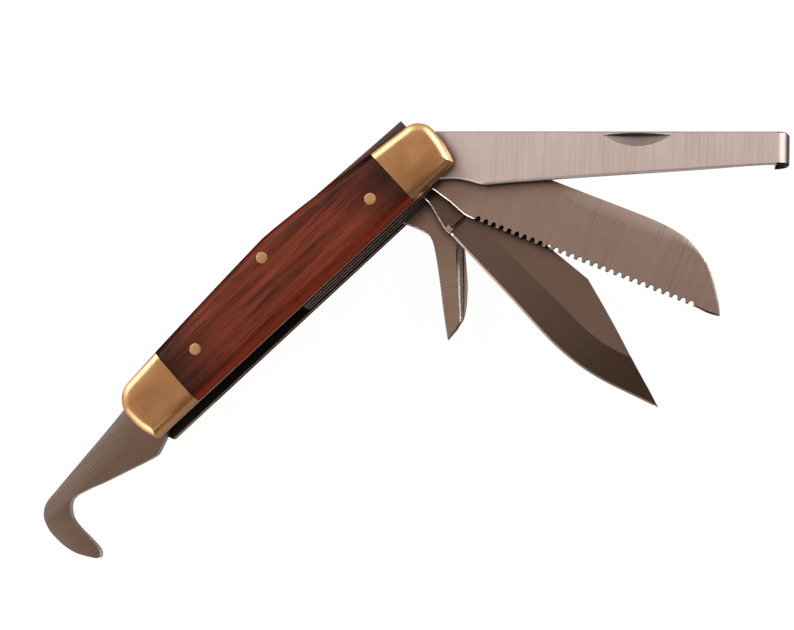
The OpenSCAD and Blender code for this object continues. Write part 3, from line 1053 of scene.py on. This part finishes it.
@dataclass
class FoldingTool:
    """A tool lofted along its length from cross-sections, then turned to its open angle.

    A tool is drawn with its pivot at the origin, its tip along +x, its spine towards +y and its
    lower face at z = 0.
    """

    node: str = ""
    slot: str = ""
    pivot: Flat = BLADE_PIVOT
    angle: float = 0.0
    level: float = 0.0
    thickness: float = 2.3
    tang_r: float = 5.0
    shoulder_x: float = 4.0
    bore_r: float = 1.54
    flip: bool = False
    chamfer: float = 0.12
    flat_turn: float = 24.0

    def place(self, point: Solid) -> Solid:
        """Move a point from the tool's own axes to the row frame."""
        x, y, z = point
        if self.flip:
            return (self.pivot[0] - x, self.pivot[1] + y, self.level + z)
        turn = math.radians(-self.angle)
        c, s = math.cos(turn), math.sin(turn)
        return (self.pivot[0] + x * c - y * s, self.pivot[1] + x * s + y * c, self.level + z)

    def unplace(self, point: Vector) -> Vector:
        """Move a point from the row frame, in metres, back to the tool's own axes."""
        x, y, z = point / MM
        x, y, z = x - self.pivot[0], y - self.pivot[1], z - self.level
        if self.flip:
            return Vector((-x, y, z))
        turn = math.radians(self.angle)
        c, s = math.cos(turn), math.sin(turn)
        return Vector((x * c - y * s, x * s + y * c, z))

    def tone(self, point: Vector, centre: Vector, normal: Vector) -> float:
        """The painted light and shade at a corner of a face.

        Args:
            point: The corner, in the tool's own axes.
            centre: The face's middle.
            normal: The face's outward direction.

        Returns:
            Above 0 for painted shade, below 0 for a painted highlight.
        """
        return 0.0

    def paint(self, obj: Thing) -> None:
        """Write the painted light and shade of every face corner for the steel to read."""
        mesh = obj.data
        values = mesh.attributes.new(STEEL_PAINTED_LIGHT, "FLOAT", "CORNER").data
        origin = self.unplace(Vector((0.0, 0.0, 0.0)))
        for face in mesh.polygons:
            centre = self.unplace(face.center)
            normal = (self.unplace(face.normal * MM) - origin).normalized()
            for i in face.loop_indices:
                point = self.unplace(mesh.vertices[mesh.loops[i].vertex_index].co)
                values[i].value = self.tone(point, centre, normal)

    def low(self, x: float) -> float:
        """The edge side of the outline at x."""
        raise NotImplementedError

    def high(self, x: float) -> float:
        """The spine side of the outline at x."""
        raise NotImplementedError

    def columns(self, x: float) -> list[Solid]:
        """Places across the tool at x, each with the height of its upper and lower face."""
        raise NotImplementedError

    def stations(self) -> list[float]:
        """Where the cross-sections lie."""
        raise NotImplementedError

    def bend(self, point: Solid) -> Solid:
        """Bend a point of the straight tool, which most tools don't need."""
        return point

    def tang_low(self, x: float) -> float | None:
        """The tang's rounded lower side, up to below the pivot."""
        return -math.sqrt(max(self.tang_r**2 - x * x, 0.01)) if x <= 0 else None

    def tang_high(self, x: float) -> float | None:
        """The tang's rounded upper side, up to the shoulder."""
        return math.sqrt(max(self.tang_r**2 - x * x, 0.01)) if x < self.shoulder_x else None

    def tang_stations(self) -> list[float]:
        """Cross-sections round the tang and on both sides of the shoulder."""
        turns = (4, 12, 22, 34, 46, 58, 70, 80, 90)
        turn = [-self.tang_r * math.cos(math.radians(a)) for a in turns]
        return [*turn, 1.0, 2.0, 3.0, 3.6, self.shoulder_x - 0.02, self.shoulder_x + 0.02]

    def skin(self) -> Thing:
        """Loft the whole tool."""
        rings = []
        for x in sorted(set(self.stations())):
            across = self.columns(x)
            top = [self.place(self.bend((x, y, up))) for y, up, _ in across]
            under = [self.place(self.bend((x, y, down))) for y, _, down in reversed(across)]
            rings.append(top + under)
        return as_object(loft(rings), f"{self.node}_blade")

    def cutters(self) -> list[Thing]:
        """What is cut out of the tool: the hole for its pivot pin."""
        middle = self.place((0.0, 0.0, self.thickness / 2))
        return [rod("bore", middle, self.bore_r, 4 * self.thickness)]

    def nail_nick(self, x: float, y: float, length: float, width: float, depth: float) -> Thing:
        """A cone that lies along the spine and cuts a thumbnail's crescent into the upper face.

        Args:
            x: Middle of the crescent along the tool.
            y: Its straight side, towards the spine.
            length: Its length.
            width: Its width.
            depth: Its depth at the straight side.

        Returns:
            The cutter.
        """
        radius = (length * length / 4 + depth * depth) / (2 * depth)
        rings = []
        for down, rise in ((-0.02, 1.1), (0.18, 0.0), (1.02, 1.025)):
            middle = (x, self.thickness + radius - depth)
            points = arc(middle, radius - depth * rise, -180, 180, 720)[:-1]
            rings.append([self.place((px, y - width * down, pz)) for px, pz in points])
        return as_object(loft(rings), "nick")

    def build(self, steel: Material) -> Thing:
        """Make, cut, dress and hand over the tool."""
        obj = self.skin()
        cut(obj, self.cutters())
        self.paint(obj)
        crisp(obj, self.flat_turn)
        obj.data.materials.clear()
        obj.data.materials.append(steel)
        own(obj, self.node, self.slot, self.node)
        return obj


@dataclass
class HoofKnife(FoldingTool):
    """The hoof knife: a long straight blade, thin at the tip, which curls under."""

    node: str = "hoof_knife"
    slot: str = "hoof_steel"
    angle: float = 44.0
    level: float = 14.7
    length: float = 93.2
    spine: float = 7.7
    curl_r: float = 3.4
    curl_t: float = 1.1
    taper: float = 3.2
    taper_after: float = 1.2
    thin_run: float = 26.0
    edge_w: float = 0.45
    spine_w: float = 0.3
    nick: Flat = (55.4, 7.3)
    nick_size: Solid = (17.0, 3.4, 0.75)
    flat_turn: float = 9.0

    @property
    def curl_x(self) -> float:
        """Where the curl begins."""
        return self.length - self.curl_r

    @property
    def curl_end(self) -> float:
        """Where the curl ends, measured along its middle."""
        return self.curl_x + math.pi * (self.curl_r - self.curl_t / 2)

    def low(self, x: float) -> float:
        """The edge side of the outline at x."""
        tang = self.tang_low(x)
        if tang is not None:
            return tang
        return height_curve(
            [(0, -5), (6, -4.5), (10.3, -4.5), (13.4, -5.1), (15.5, -5.7), (17, -5.9), (19, -5.75),
             (23.6, -5.3), (33.8, -4.5), (51.3, -3.2), (71.1, -1.8), (89.8, -0.6), (101, -0.8)]
        )(x)

    def high(self, x: float) -> float:
        """The spine side of the outline at x."""
        tang = self.tang_high(x)
        if tang is not None:
            return tang
        start = self.curl_x + self.taper_after
        past = max(0.0, x - start)
        return self.spine - self.taper * (past / (self.curl_end - start)) ** 2

    def stations(self) -> list[float]:
        """Close together at the tang and round the curl."""
        run = [4.6, 5.5, *[6.5 + 0.7 * i for i in range(20)]]
        run += [21 + 2.0 * i for i in range(34)]
        curl = [self.curl_x + (self.curl_end - self.curl_x) * i / 28 for i in range(29)]
        return [*self.tang_stations(), *run, *curl]

    def columns(self, x: float) -> list[Solid]:
        """Full thickness to two thirds of the blade, then thinner from below, with a fine bevel."""
        low, high = self.low(x), self.high(x)
        thin = ease(x, self.curl_x - self.thin_run, self.curl_x)
        under = (self.thickness - self.curl_t) * thin
        top = self.thickness
        ground = ease(x, 16.8, 18.5)
        edge = 0.12 + 0.2 * ground
        c = self.chamfer
        return [
            (low, top - edge, under + edge * 0.75),
            (low + c + (self.edge_w - c) * ground, top, under),
            (low + 3.0, top, under),
            (high - 1.5, top, under),
            (high - self.spine_w, top, under),
            (high, top - self.spine_w, under + c),
        ]

    def bend(self, point: Solid) -> Solid:
        """Roll what lies past the start of the curl down through a half circle."""
        x, y, z = point
        if x <= self.curl_x:
            return point
        turn = (x - self.curl_x) / (self.curl_r - self.curl_t / 2)
        radius = self.curl_r - (self.thickness - z)
        return (
            self.curl_x + radius * math.sin(turn),
            y,
            self.thickness - self.curl_r + radius * math.cos(turn),
        )

    def cutters(self) -> list[Thing]:
        """The pivot hole and the thumbnail's crescent."""
        return [*super().cutters(), self.nail_nick(*self.nick, *self.nick_size)]

    def tone(self, point: Vector, centre: Vector, normal: Vector) -> float:
        """Painted light and shade: a painted highlight then painted shade round the curl, and
        painted shade under it, in the thumbnail nick and along the spine's bevel.
        """
        if centre.x > self.curl_x + 0.05:
            if abs(normal.y) > 0.3 or normal.z < -0.1 or normal.x < -0.1:
                return 2.0
            rolled = math.degrees(math.atan2(normal.x, normal.z))
            return ease(rolled, 38, 50) - 0.5 * ease(rolled, 8, 18) * (1 - ease(rolled, 34, 42))
        if abs(centre.x - self.nick[0]) < 9 and centre.y > self.nick[1] - 4 and normal.z > 0.3:
            return 1.0 if normal.y < -0.15 else 0.9 * ease(normal.y, 0.03, 0.1)
        return 0.8 if normal.y > 0.3 and normal.z > 0.1 else 0.0


@dataclass
class SawBlade(FoldingTool):
    """The saw: a broad blade with a rounded end, a swedge along its spine and a row of teeth."""

    node: str = "saw_blade"
    slot: str = "saw_steel"
    angle: float = 65.0
    level: float = 11.9
    thickness: float = 2.0
    spine: float = 8.2
    plain_x: float = 79.2
    tip_x: float = 85.3
    tooth_y: float = -8.4
    first_x: float = 19.6
    pitch: float = 2.15
    teeth: int = 28
    gullet_w: float = 0.72
    gullet_h: float = 1.45
    gullet_down: float = 0.3
    swedge_w: float = 3.6
    swedge_drop: float = 0.32
    tang_edge: float = 0.25
    tooth_edge: float = 0.2

    def low(self, x: float) -> float:
        """The edge side of the outline at x, along the tips of the teeth."""
        tang = self.tang_low(x)
        if tang is not None:
            return tang
        if x > self.plain_x:
            plain = [(self.plain_x, self.tooth_y), (80.6, -8.6), (82.8, -8.7), (self.tip_x, -8.4)]
            return height_curve(plain)(x)
        return height_curve(
            [(0, -5), (5.3, -5.1), (8, -5.8), (11.1, -6.6), (14.5, -7.8), (16.1, -8.3),
             (17.5, -8.4), (18.6, self.tooth_y), (30, self.tooth_y), (78, self.tooth_y)]
        )(x)

    def high(self, x: float) -> float:
        """The spine side of the outline at x."""
        tang = self.tang_high(x)
        if tang is not None:
            return tang
        return height_curve(
            [(4, self.spine), (30, self.spine), (58, 8.25), (64, 8.0), (68.5, 7.3), (71.5, 6.5),
             (74.7, 5.1), (77.4, 3.2), (79.7, 0.6), (82.0, -2.6), (84.0, -5.6), (self.tip_x, -8.1)]
        )(x)

    def stations(self) -> list[float]:
        """Close together where the outline turns."""
        run = [4.6 + 0.7 * i for i in range(22)]
        run += [20 + 2.0 * i for i in range(22)]
        run += [62 + 0.8 * i for i in range(20)]
        run += [78.0, 78.9, 79.5, 80.0, 81.0, 82.0, 83.0, 83.8, 84.4, 84.9, 85.25]
        return [*self.tang_stations(), *run]

    def columns(self, x: float) -> list[Solid]:
        """Flat faces, with a swedge that starts past the middle and runs round the tip."""
        low, high = self.low(x), self.high(x)
        width = high - low
        c = min(self.chamfer, width / 6)
        ground = ease(x, 30, 46)
        past = ease(x, 60, 76)
        drop = self.swedge_drop * ground * (1 - 0.6 * past)
        band = min(self.swedge_w * (0.4 + 0.6 * ground) * (1 - 0.7 * past), width * 0.45)
        t = self.thickness
        tang = ease(x, 5.0, 6.5) * (1 - ease(x, 17.6, 18.6))
        toothed = ease(x, 18.4, 19.0)
        c_low = 0.04 + (self.tang_edge - 0.04) * tang + (self.tooth_edge - 0.04) * toothed
        c_low = min(c_low + 0.2 * ease(x, 79.0, 80.0), width / 6)
        return [
            (low, t - c_low, c_low),
            (low + c_low, t, 0.0),
            (low + width * 0.4, t, 0.0),
            (high - band, t, 0.0),
            (high - band * 0.5, t - drop * 0.42, drop * 0.42),
            (high, t - c - drop, c + drop),
        ]

    def cut_teeth(self, obj: Thing, steel: Material) -> None:
        """Cut the gullets between the teeth."""
        y, middle = self.tooth_y - self.gullet_down, self.thickness / 2
        start = self.place((self.first_x, y, middle))
        following = self.place((self.first_x + self.pitch, y, middle))
        values = {
            "Count": self.teeth,
            "First": [c * MM for c in start],
            "Step": [(b - a) * MM for a, b in zip(start, following)],
            "Turn": [0.0, 0.0, math.radians(-self.angle)],
            "Shape": [self.gullet_w * MM, self.gullet_h * MM, 3 * MM],
            "Material": steel,
        }
        run_tree(obj, gullet_tree(), values)

    def build(self, steel: Material) -> Thing:
        """Make, cut, tooth, dress and hand over the saw."""
        obj = self.skin()
        cut(obj, self.cutters())
        obj.data.materials.clear()
        obj.data.materials.append(steel)
        self.cut_teeth(obj, steel)
        self.paint(obj)
        crisp(obj)
        own(obj, self.node, self.slot, self.node)
        return obj

    def tone(self, point: Vector, centre: Vector, normal: Vector) -> float:
        """A painted highlight along the tang's edge and the tip's lower edge, painted shade on the
        teeth and in the gullets, and a faint painted highlight on the swedge.
        """
        if normal.z > 0.2 and normal.y < -0.25:
            return -0.8 if centre.x < 18.6 else 1.0 + 0.8 * ease(centre.x, 78.5, 79.5)
        if normal.y < -0.7 and centre.x > 79.4:
            return -0.5
        if abs(normal.z) < 0.3 and centre.y < -6.6 and 18 < centre.x < 79.4:
            return 2.0
        if normal.z > 0.9 and normal.y > 0.05 and centre.y > 0:
            return -0.08
        return 0.0


@dataclass
class MainBlade(FoldingTool):
    """The main blade: a long clip point, hollow ground from a line that climbs to the clip."""

    node: str = "main_blade"
    slot: str = "main_steel"
    angle: float = 91.0
    level: float = 8.8
    length: float = 87.1
    plunge_x: float = 18.0
    clip: Flat = (51.2, 12.0)
    slope: float = 0.115
    deepest: float = 0.85
    bevel_w: float = 0.45
    tang_edge: float = 0.26
    flat_turn: float = 5.0
    nick: Flat = (26.0, 7.0)
    nick_size: Solid = (12.0, 2.6, 0.6)

    def low(self, x: float) -> float:
        """The edge side of the outline at x."""
        tang = self.tang_low(x)
        if tang is not None:
            return tang
        return height_curve(
            [(0, -5), (3, -4.95), (5, -5), (7, -5.25), (9.4, -5.4), (14.3, -6.3), (16.6, -6.75),
             (17.7, -6.8), (18.3, -6.55), (18.9, -6.5), (26, -6.35), (41.2, -5.95), (56.1, -5.7),
             (63.2, -4.95), (68.5, -3.85), (74, -2.1), (80, 0.35), (84, 2.0), (self.length, 3.25)]
        )(x)

    def high(self, x: float) -> float:
        """The spine side of the outline at x."""
        tang = self.tang_high(x)
        if tang is not None:
            return tang
        if x < self.clip[0]:
            return straight_curve([(4, 5.6), (39.7, 10.3), self.clip])(x)
        return height_curve(
            [self.clip, (54.2, 11.35), (57.1, 10.75), (62.2, 9.6), (67.5, 8.3), (72.7, 6.95),
             (77.8, 5.7), (82.8, 4.55), (self.length, 3.4)]
        )(x)

    def grind_line(self, x: float) -> float:
        """Where the hollow grind meets the flat of the blade."""
        return height_curve(
            [(18, 0.3), (24.7, 0.9), (36.7, 1.7), (51, 2.5), (58.7, 2.85), (65.3, 3.8), (70.7, 5.5),
             (73.6, 6.9), (80, 9.6), (87.2, 11.5)]
        )(x)

    def stations(self) -> list[float]:
        """Close together at the kick, the plunge and the clip's corner."""
        run = [4.6 + 0.8 * i for i in range(16)]
        run += [17.2, 17.5, 17.7, 17.95, 18.15, 18.4, 18.7, 19.2, 20]
        run += [21.5 + 1.5 * i for i in range(20)]
        run += [51.1, 51.2, 51.35]
        run += [52 + 1.0 * i for i in range(35)]
        return [*self.tang_stations(), *run, self.length - 0.4, self.length]

    def face(self, x: float, y: float, low: float) -> float:
        """How far the blade's face is sunk below full thickness at a point."""
        if x <= self.plunge_x - 0.5:
            return 0.0
        groove = 0.3 * max(0.0, 1 - abs(x - 18.0) / 0.4)
        step = 0.07 * ease(x, 17.9, 18.3)
        start = low + self.bevel_w
        below = max(0.0, self.grind_line(x) - max(y, start))
        sunk = min(self.slope * below, self.deepest) * ease(x, 18.0, 19.0)
        return max(groove, step + sunk)

    def columns(self, x: float) -> list[Solid]:
        """Edge bevel, hollow grind, flat and spine."""
        low, high = self.low(x), self.high(x)
        width = high - low
        c = min(self.chamfer, width / 8)
        tang = ease(x, 7.0, 8.5) * (1 - ease(x, 16.6, 17.6))
        bevel = self.bevel_w * ease(x, 17.8, 18.6) + self.tang_edge * tang + 0.06
        start = low + min(bevel, width * 0.35)
        top_y = high - c
        line = min(max(self.grind_line(x), start + 0.05), top_y - 0.02)
        ground = ease(x, 18.0, 18.8)
        t = self.thickness
        out = []
        edge_sunk = self.face(x, start, low)
        keen = 0.06 + (self.tang_edge - 0.06) * tang + (t / 2 - 0.16 - edge_sunk) * 0.75 * ground
        out.append((low, t - edge_sunk - keen, edge_sunk + keen))
        for share in (0.0, 0.2, 0.4, 0.6, 0.8, 1.0):
            y = start + (line - start) * share
            sunk = self.face(x, y, low)
            out.append((y, t - sunk, sunk))
        for share in (0.5, 1.0):
            y = line + (top_y - line) * share
            sunk = self.face(x, y, low)
            out.append((y, t - sunk, sunk))
        sunk = self.face(x, high, low)
        out.append((high, t - sunk - c, sunk + c))
        return out

    def cutters(self) -> list[Thing]:
        """The pivot hole and the thumbnail's crescent."""
        return [*super().cutters(), self.nail_nick(*self.nick, *self.nick_size)]

    def tone(self, point: Vector, centre: Vector, normal: Vector) -> float:
        """A painted highlight on the edge bevel, fading towards the tip, painted shade in the
        plunge line and on the tang, and painted shade over the hollow grind that deepens towards
        the tip.
        """
        if normal.z < 0.05:
            return 0.0
        if 17.6 < centre.x < 18.4 and centre.y > -5.7:
            return 1.0
        rim = centre.y - self.low(centre.x)
        if 16.6 < centre.x < 18.1 and rim < 1.1:
            return -0.9
        if rim < self.bevel_w and normal.y < -0.15:
            return -0.8 + 0.5 * ease(point.x, 40, 75)
        if centre.x < self.plunge_x:
            return 0.35
        below = centre.y < self.grind_line(centre.x) - 0.01
        return 0.25 + 0.6 * ease(point.x, 25, 85) if below else 0.12 * (1 - ease(point.x, 20, 45))


@dataclass
class LeatherPunch(FoldingTool):
    """The leather punch: a stout awl with a slanting point and a hollow along its back."""

    node: str = "leather_punch"
    slot: str = "punch_steel"
    angle: float = 123.0
    level: float = 5.4
    thickness: float = 2.6
    length: float = 46.0
    kick: Flat = (13.4, -8.1)
    slant: Flat = (41.4, 3.75)

    def low(self, x: float) -> float:
        """The edge side of the outline at x."""
        tang = self.tang_low(x)
        if tang is not None:
            return tang
        if x < self.kick[0]:
            belly = [(0, -5), (4.5, -5.0), (8, -6.6), (11, -7.9), (12.4, -8.25), self.kick]
            return height_curve(belly)(x)
        return height_curve(
            [self.kick, (14.6, -6), (15.9, -4.1), (17.2, -2.4), (18.6, -1.25), (20.9, -0.7),
             (27.6, -0.6), (39.5, -1.0), (self.length, -1.1)]
        )(x)

    def high(self, x: float) -> float:
        """The back of the punch and its slanting end."""
        tang = self.tang_high(x)
        if tang is not None:
            return tang
        if x < self.slant[0]:
            return height_curve(
                [(4, 6.4), (8, 6.9), (16, 7.0), (23, 7.0), (27.2, 6.7), (32.5, 6.2), (36, 5.5),
                 (38.4, 4.9), self.slant]
            )(x)
        return straight_curve([self.slant, (43.9, 1.6), (45.2, 0.0), (self.length, -0.95)])(x)

    def stations(self) -> list[float]:
        """Close together at the kick and the slanting end."""
        run = [4.6 + 0.7 * i for i in range(12)]
        run += [12.8, 13.1, 13.4, 13.7, 14.1, 14.6, 15.2, 15.9, 16.5, 17.2, 17.9, 18.6, 19.6, 20.9]
        run += [22 + 1.0 * i for i in range(19)]
        run += [40.8, 41.3, 41.5, 42, 42.6, 43.2, 43.9, 44.5, 45.0, 45.5, 45.9]
        return [*self.tang_stations(), *run]

    def columns(self, x: float) -> list[Solid]:
        """Rounded long edges and a sharpened slant."""
        low, high = self.low(x), self.high(x)
        width = high - low
        round_edge = min(0.1 + 0.1 * ease(x, 16, 24), width / 5)
        slant = ease(x, 40.9, 41.8)
        keen = self.thickness * 0.3 * slant
        band = min(max(0.12, 0.6 * slant), width * 0.35)
        t = self.thickness
        return [
            (low, t - round_edge, round_edge),
            (low + round_edge * 0.35, t - round_edge * 0.35, round_edge * 0.35),
            (low + round_edge, t, 0.0),
            (low + width * 0.45, t, 0.0),
            (high - band, t, 0.0),
            (high, t - 0.12 - keen, 0.12 + keen),
        ]

    def cutters(self) -> list[Thing]:
        """The pivot hole and the long hollow, narrower towards the point."""
        begin, end = Vector((20.0, 6.35, 0.0)), Vector((43.5, 3.1, 0.0))
        rings = []
        for share, radius in ((0.0, 1.15), (0.25, 1.1), (0.6, 0.95), (1.0, 0.55)):
            middle = begin.lerp(end, share)
            points = arc((middle.y, self.thickness + 0.25), radius, -180, 180, 32)[:-1]
            rings.append([self.place((middle.x, y, z)) for y, z in points])
        return [*super().cutters(), as_object(loft(rings), "hollow")]

    def tone(self, point: Vector, centre: Vector, normal: Vector) -> float:
        """A painted highlight on the hollow's near side, painted shade on its far side, and painted
        shade on the slant.
        """
        if normal.z < 0.05:
            return 0.0
        if centre.x > 41.2 and normal.y > 0.2:
            return 0.7
        if centre.x > 18.5 and centre.y > 1.5 and abs(normal.y) > 0.06:
            return -0.9 * ease(normal.y, 0.1, 0.5) + 0.9 * ease(-normal.y, 0.0, 0.3)
        return 0.0


@dataclass
class HoofPick(FoldingTool):
    """The hoof pick: a flat hook with softened edges."""

    node: str = "hoof_pick"
    slot: str = "pick_steel"
    pivot: Flat = PICK_PIVOT
    level: float = 5.4
    thickness: float = 2.6
    flip: bool = True
    edge: float = 0.18
    spine: float = 7.3
    point: Flat = (38.7, -17.4)
    bend_top: Flat = (39.5, 2.9)

    def outline(self) -> list[Flat]:
        """The hook's outline, from below the pivot round the hook and back over the shank."""
        runs: list[list[Flat]] = [
            [(0.0, -5.0), (3.0, -5.3), (5.6, -6.7), (7.3, -7.4), (8.9, -8.0), (10.2, -8.3),
             (12.2, -7.9), (15.1, -7.1), (19.4, -5.8), (23.8, -4.5), (26.7, -3.6), (29.5, -2.6),
             (31.6, -2.0), (33.3, -1.5), (35.2, -1.5), (36.4, -2.1), (37.5, -3.3), (38.4, -5.0),
             (38.7, -6.8), (38.7, -8.9), (38.5, -11.3), (38.3, -13.9), (38.3, -16.3), self.point],
            [self.point, (39.2, -17.9), (39.8, -18.1), (40.5, -17.6), (41.0, -17.0),
             (42.3, -15.2), (43.8, -12.7), (44.8, -9.6), (45.2, -6.7), (45.3, -3.8), (44.7, -1.1),
             (43.8, 0.6), (42.4, 1.9), (40.9, 2.6), self.bend_top],
            [self.bend_top, (31.2, 3.9), (23.0, 4.9), (14.8, 5.9), (9.0, 6.75),
             (self.shoulder_x, self.spine)],
        ]
        points: list[Flat] = []
        for run in runs:
            points += smooth_run(run, 5)
        points.append((self.shoulder_x, self.spine))
        points.append((self.shoulder_x, 3.0))
        points += arc((0.0, 0.0), self.tang_r, 37, 268, 40)
        return points

    def skin(self) -> Thing:
        """Extrude the outline and round its edges."""
        rings = [[self.place((x, y, z)) for x, y in self.outline()] for z in (0.0, self.thickness)]
        obj = as_object(loft(rings), f"{self.node}_blade")
        soften(obj, self.edge, 40, 3)
        return obj

    def tone(self, point: Vector, centre: Vector, normal: Vector) -> float:
        """A painted highlight on the wall inside the hook."""
        return -0.5 if abs(normal.z) < 0.8 and normal.y < -0.25 else 0.0


# ---------------------------------------------------------------- light, camera and the whole


@dataclass
class Looks:
    """The knife's finishes."""

    wood: Material = field(default_factory=lambda: OiledRosewood().build())
    brass: Material = field(default_factory=lambda: CastBrass().build())
    pin: Material = field(
        default_factory=lambda: CastBrass(
            "peened brass", "#d8b07c", "#e2bd8c", "#f0d8b4", 0.36
        ).build()
    )
    plate: Material = field(
        default_factory=lambda: GroundSteel(
            "rolled steel plate", "#a39c96", "#b4ada7", Lay.ALONG, roughness=0.34
        ).build()
    )
    spring: Material = field(
        default_factory=lambda: GroundSteel(
            "tempered spring steel", "#857a72", "#958a82", Lay.ALONG, roughness=0.3
        ).build()
    )


@dataclass
class Softbox:
    """A square area light aimed at a point."""

    name: str
    place: Solid
    size: float
    watts: float
    aim: Solid = (0.01, -0.02, 0.01)
    tint: str = "#ffffff"

    def build(self) -> None:
        """Add the light."""
        data = bpy.data.lights.new(self.name, "AREA")
        data.shape = "SQUARE"
        data.size = self.size
        data.energy = self.watts
        data.color = to_linear(self.tint)[:3]
        lamp = bpy.data.objects.new(self.name, data)
        bpy.context.scene.collection.objects.link(lamp)
        lamp.location = self.place
        towards = Vector(self.aim) - Vector(self.place)
        lamp.rotation_euler = towards.to_track_quat("-Z", "Y").to_euler()


@dataclass
class Studio:
    """White paper floor, soft light and the camera above the knife."""

    floor_size: float = 6.0
    floor_z: float = -0.0003
    lens: float = 72.58
    sensor: float = 36.0
    eye: Solid = (0.036, -0.098, 0.419)
    right: Solid = (0.73328, -0.66194, -0.15542)
    up: Solid = (0.67802, 0.72902, 0.09399)
    forward: Solid = (-0.05109, 0.17430, -0.98337)
    sky_strength: float = 1.0
    mouth_shade: str = "#6e5c52"
    tent: tuple[tuple[float, str], ...] = (
        (0.0, "#fffdfb"),
        (0.3, "#f2ebe6"),
        (0.62, "#c4b0a3"),
        (0.85, "#a08676"),
        (1.0, "#977c6d"),
    )

    def camera(self) -> None:
        """Add the camera that looks down on the knife."""
        data = bpy.data.cameras.new("camera")
        data.lens = self.lens
        data.sensor_width = self.sensor
        data.clip_start = 0.01
        obj = bpy.data.objects.new("camera", data)
        bpy.context.scene.collection.objects.link(obj)
        turn = Matrix((self.right, self.up, [-c for c in self.forward])).transposed()
        obj.matrix_world = Matrix.Translation(self.eye) @ turn.to_4x4()
        bpy.context.scene.camera = obj

    def floor(self) -> None:
        """Lay the paper under the knife."""
        mesh = bmesh.new()
        half = self.floor_size / 2
        corners = [(-half, -half), (half, -half), (half, half), (-half, half)]
        mesh.faces.new([mesh.verts.new((x, y, self.floor_z)) for x, y in corners])
        obj = as_object(mesh, "paper_floor")
        obj.data.materials.append(PalePaper().build())

    def sky(self) -> None:
        """A light tent: bright towards the horizon and dimmer overhead, where the camera is."""
        world = bpy.data.worlds.new("light tent")
        bpy.context.scene.world = world
        world.use_nodes = True
        tree = world.node_tree
        tree.nodes.clear()
        place = add(tree, "ShaderNodeTexCoord")
        parts = add(tree, "ShaderNodeSeparateXYZ", {0: place.outputs["Generated"]})
        tone = ramp(tree, parts.outputs["Z"], self.tent)
        mouth_side = spread(tree, parts.outputs["Y"], -0.15, -0.7, 0.0, 0.85)
        tone = tint(tree, "MULTIPLY", mouth_side, tone, self.mouth_shade)
        back = add(tree, "ShaderNodeBackground", {"Color": tone, "Strength": self.sky_strength})
        add(tree, "ShaderNodeOutputWorld", {"Surface": back.outputs[0]})

    def build(self) -> None:
        """Set the whole stage."""
        bpy.context.scene.view_settings.view_transform = "Standard"
        self.camera()
        self.floor()
        self.sky()
        for lamp in (
            Softbox("back_side", (-0.1, 0.85, 0.4), 0.8, 11.0),
            Softbox("blade_end", (0.85, 0.05, 0.35), 0.45, 8.0),
            Softbox("pick_end", (-0.85, -0.1, 0.3), 0.5, 4.0),
        ):
            lamp.build()


def main() -> None:
    """Build the stage, the handle and the five tools."""
    logging.basicConfig(level=logging.INFO, format="%(name)s: %(message)s")
    Studio().build()
    looks = Looks()
    Handle().build(looks)
    # painted light: the tools' base colours differ in brightness to match how each tool's grinding
    # lines catch the lamps, lightest on the hoof knife and darkest on the main blade and the pick
    hoof = GroundSteel(
        "cross-ground blade steel", "#d8cfcc", "#e0d8d5", roughness=0.46, line_depth=0.0006
    )
    saw = GroundSteel("satin saw steel", "#c8bfb8", "#d0c7c0", roughness=0.3)
    main_steel = GroundSteel("polished blade steel", "#a89f99", "#b0a7a1", roughness=0.22)
    punch = GroundSteel("satin punch steel", "#c3bab3", "#cbc2bb", roughness=0.28)
    pick = GroundSteel("satin hook steel", "#a9a09a", "#b1a8a2", Lay.ALONG, roughness=0.24)
    tools: list[tuple[FoldingTool, GroundSteel]] = [
        (HoofKnife(), hoof),
        (SawBlade(), saw),
        (MainBlade(), main_steel),
        (LeatherPunch(), punch),
        (HoofPick(), pick),
    ]
    for tool, steel in tools:
        tool.build(replace(steel, turn=-tool.angle, centre=tool.pivot).build())


if __name__ == "__main__":
    main()
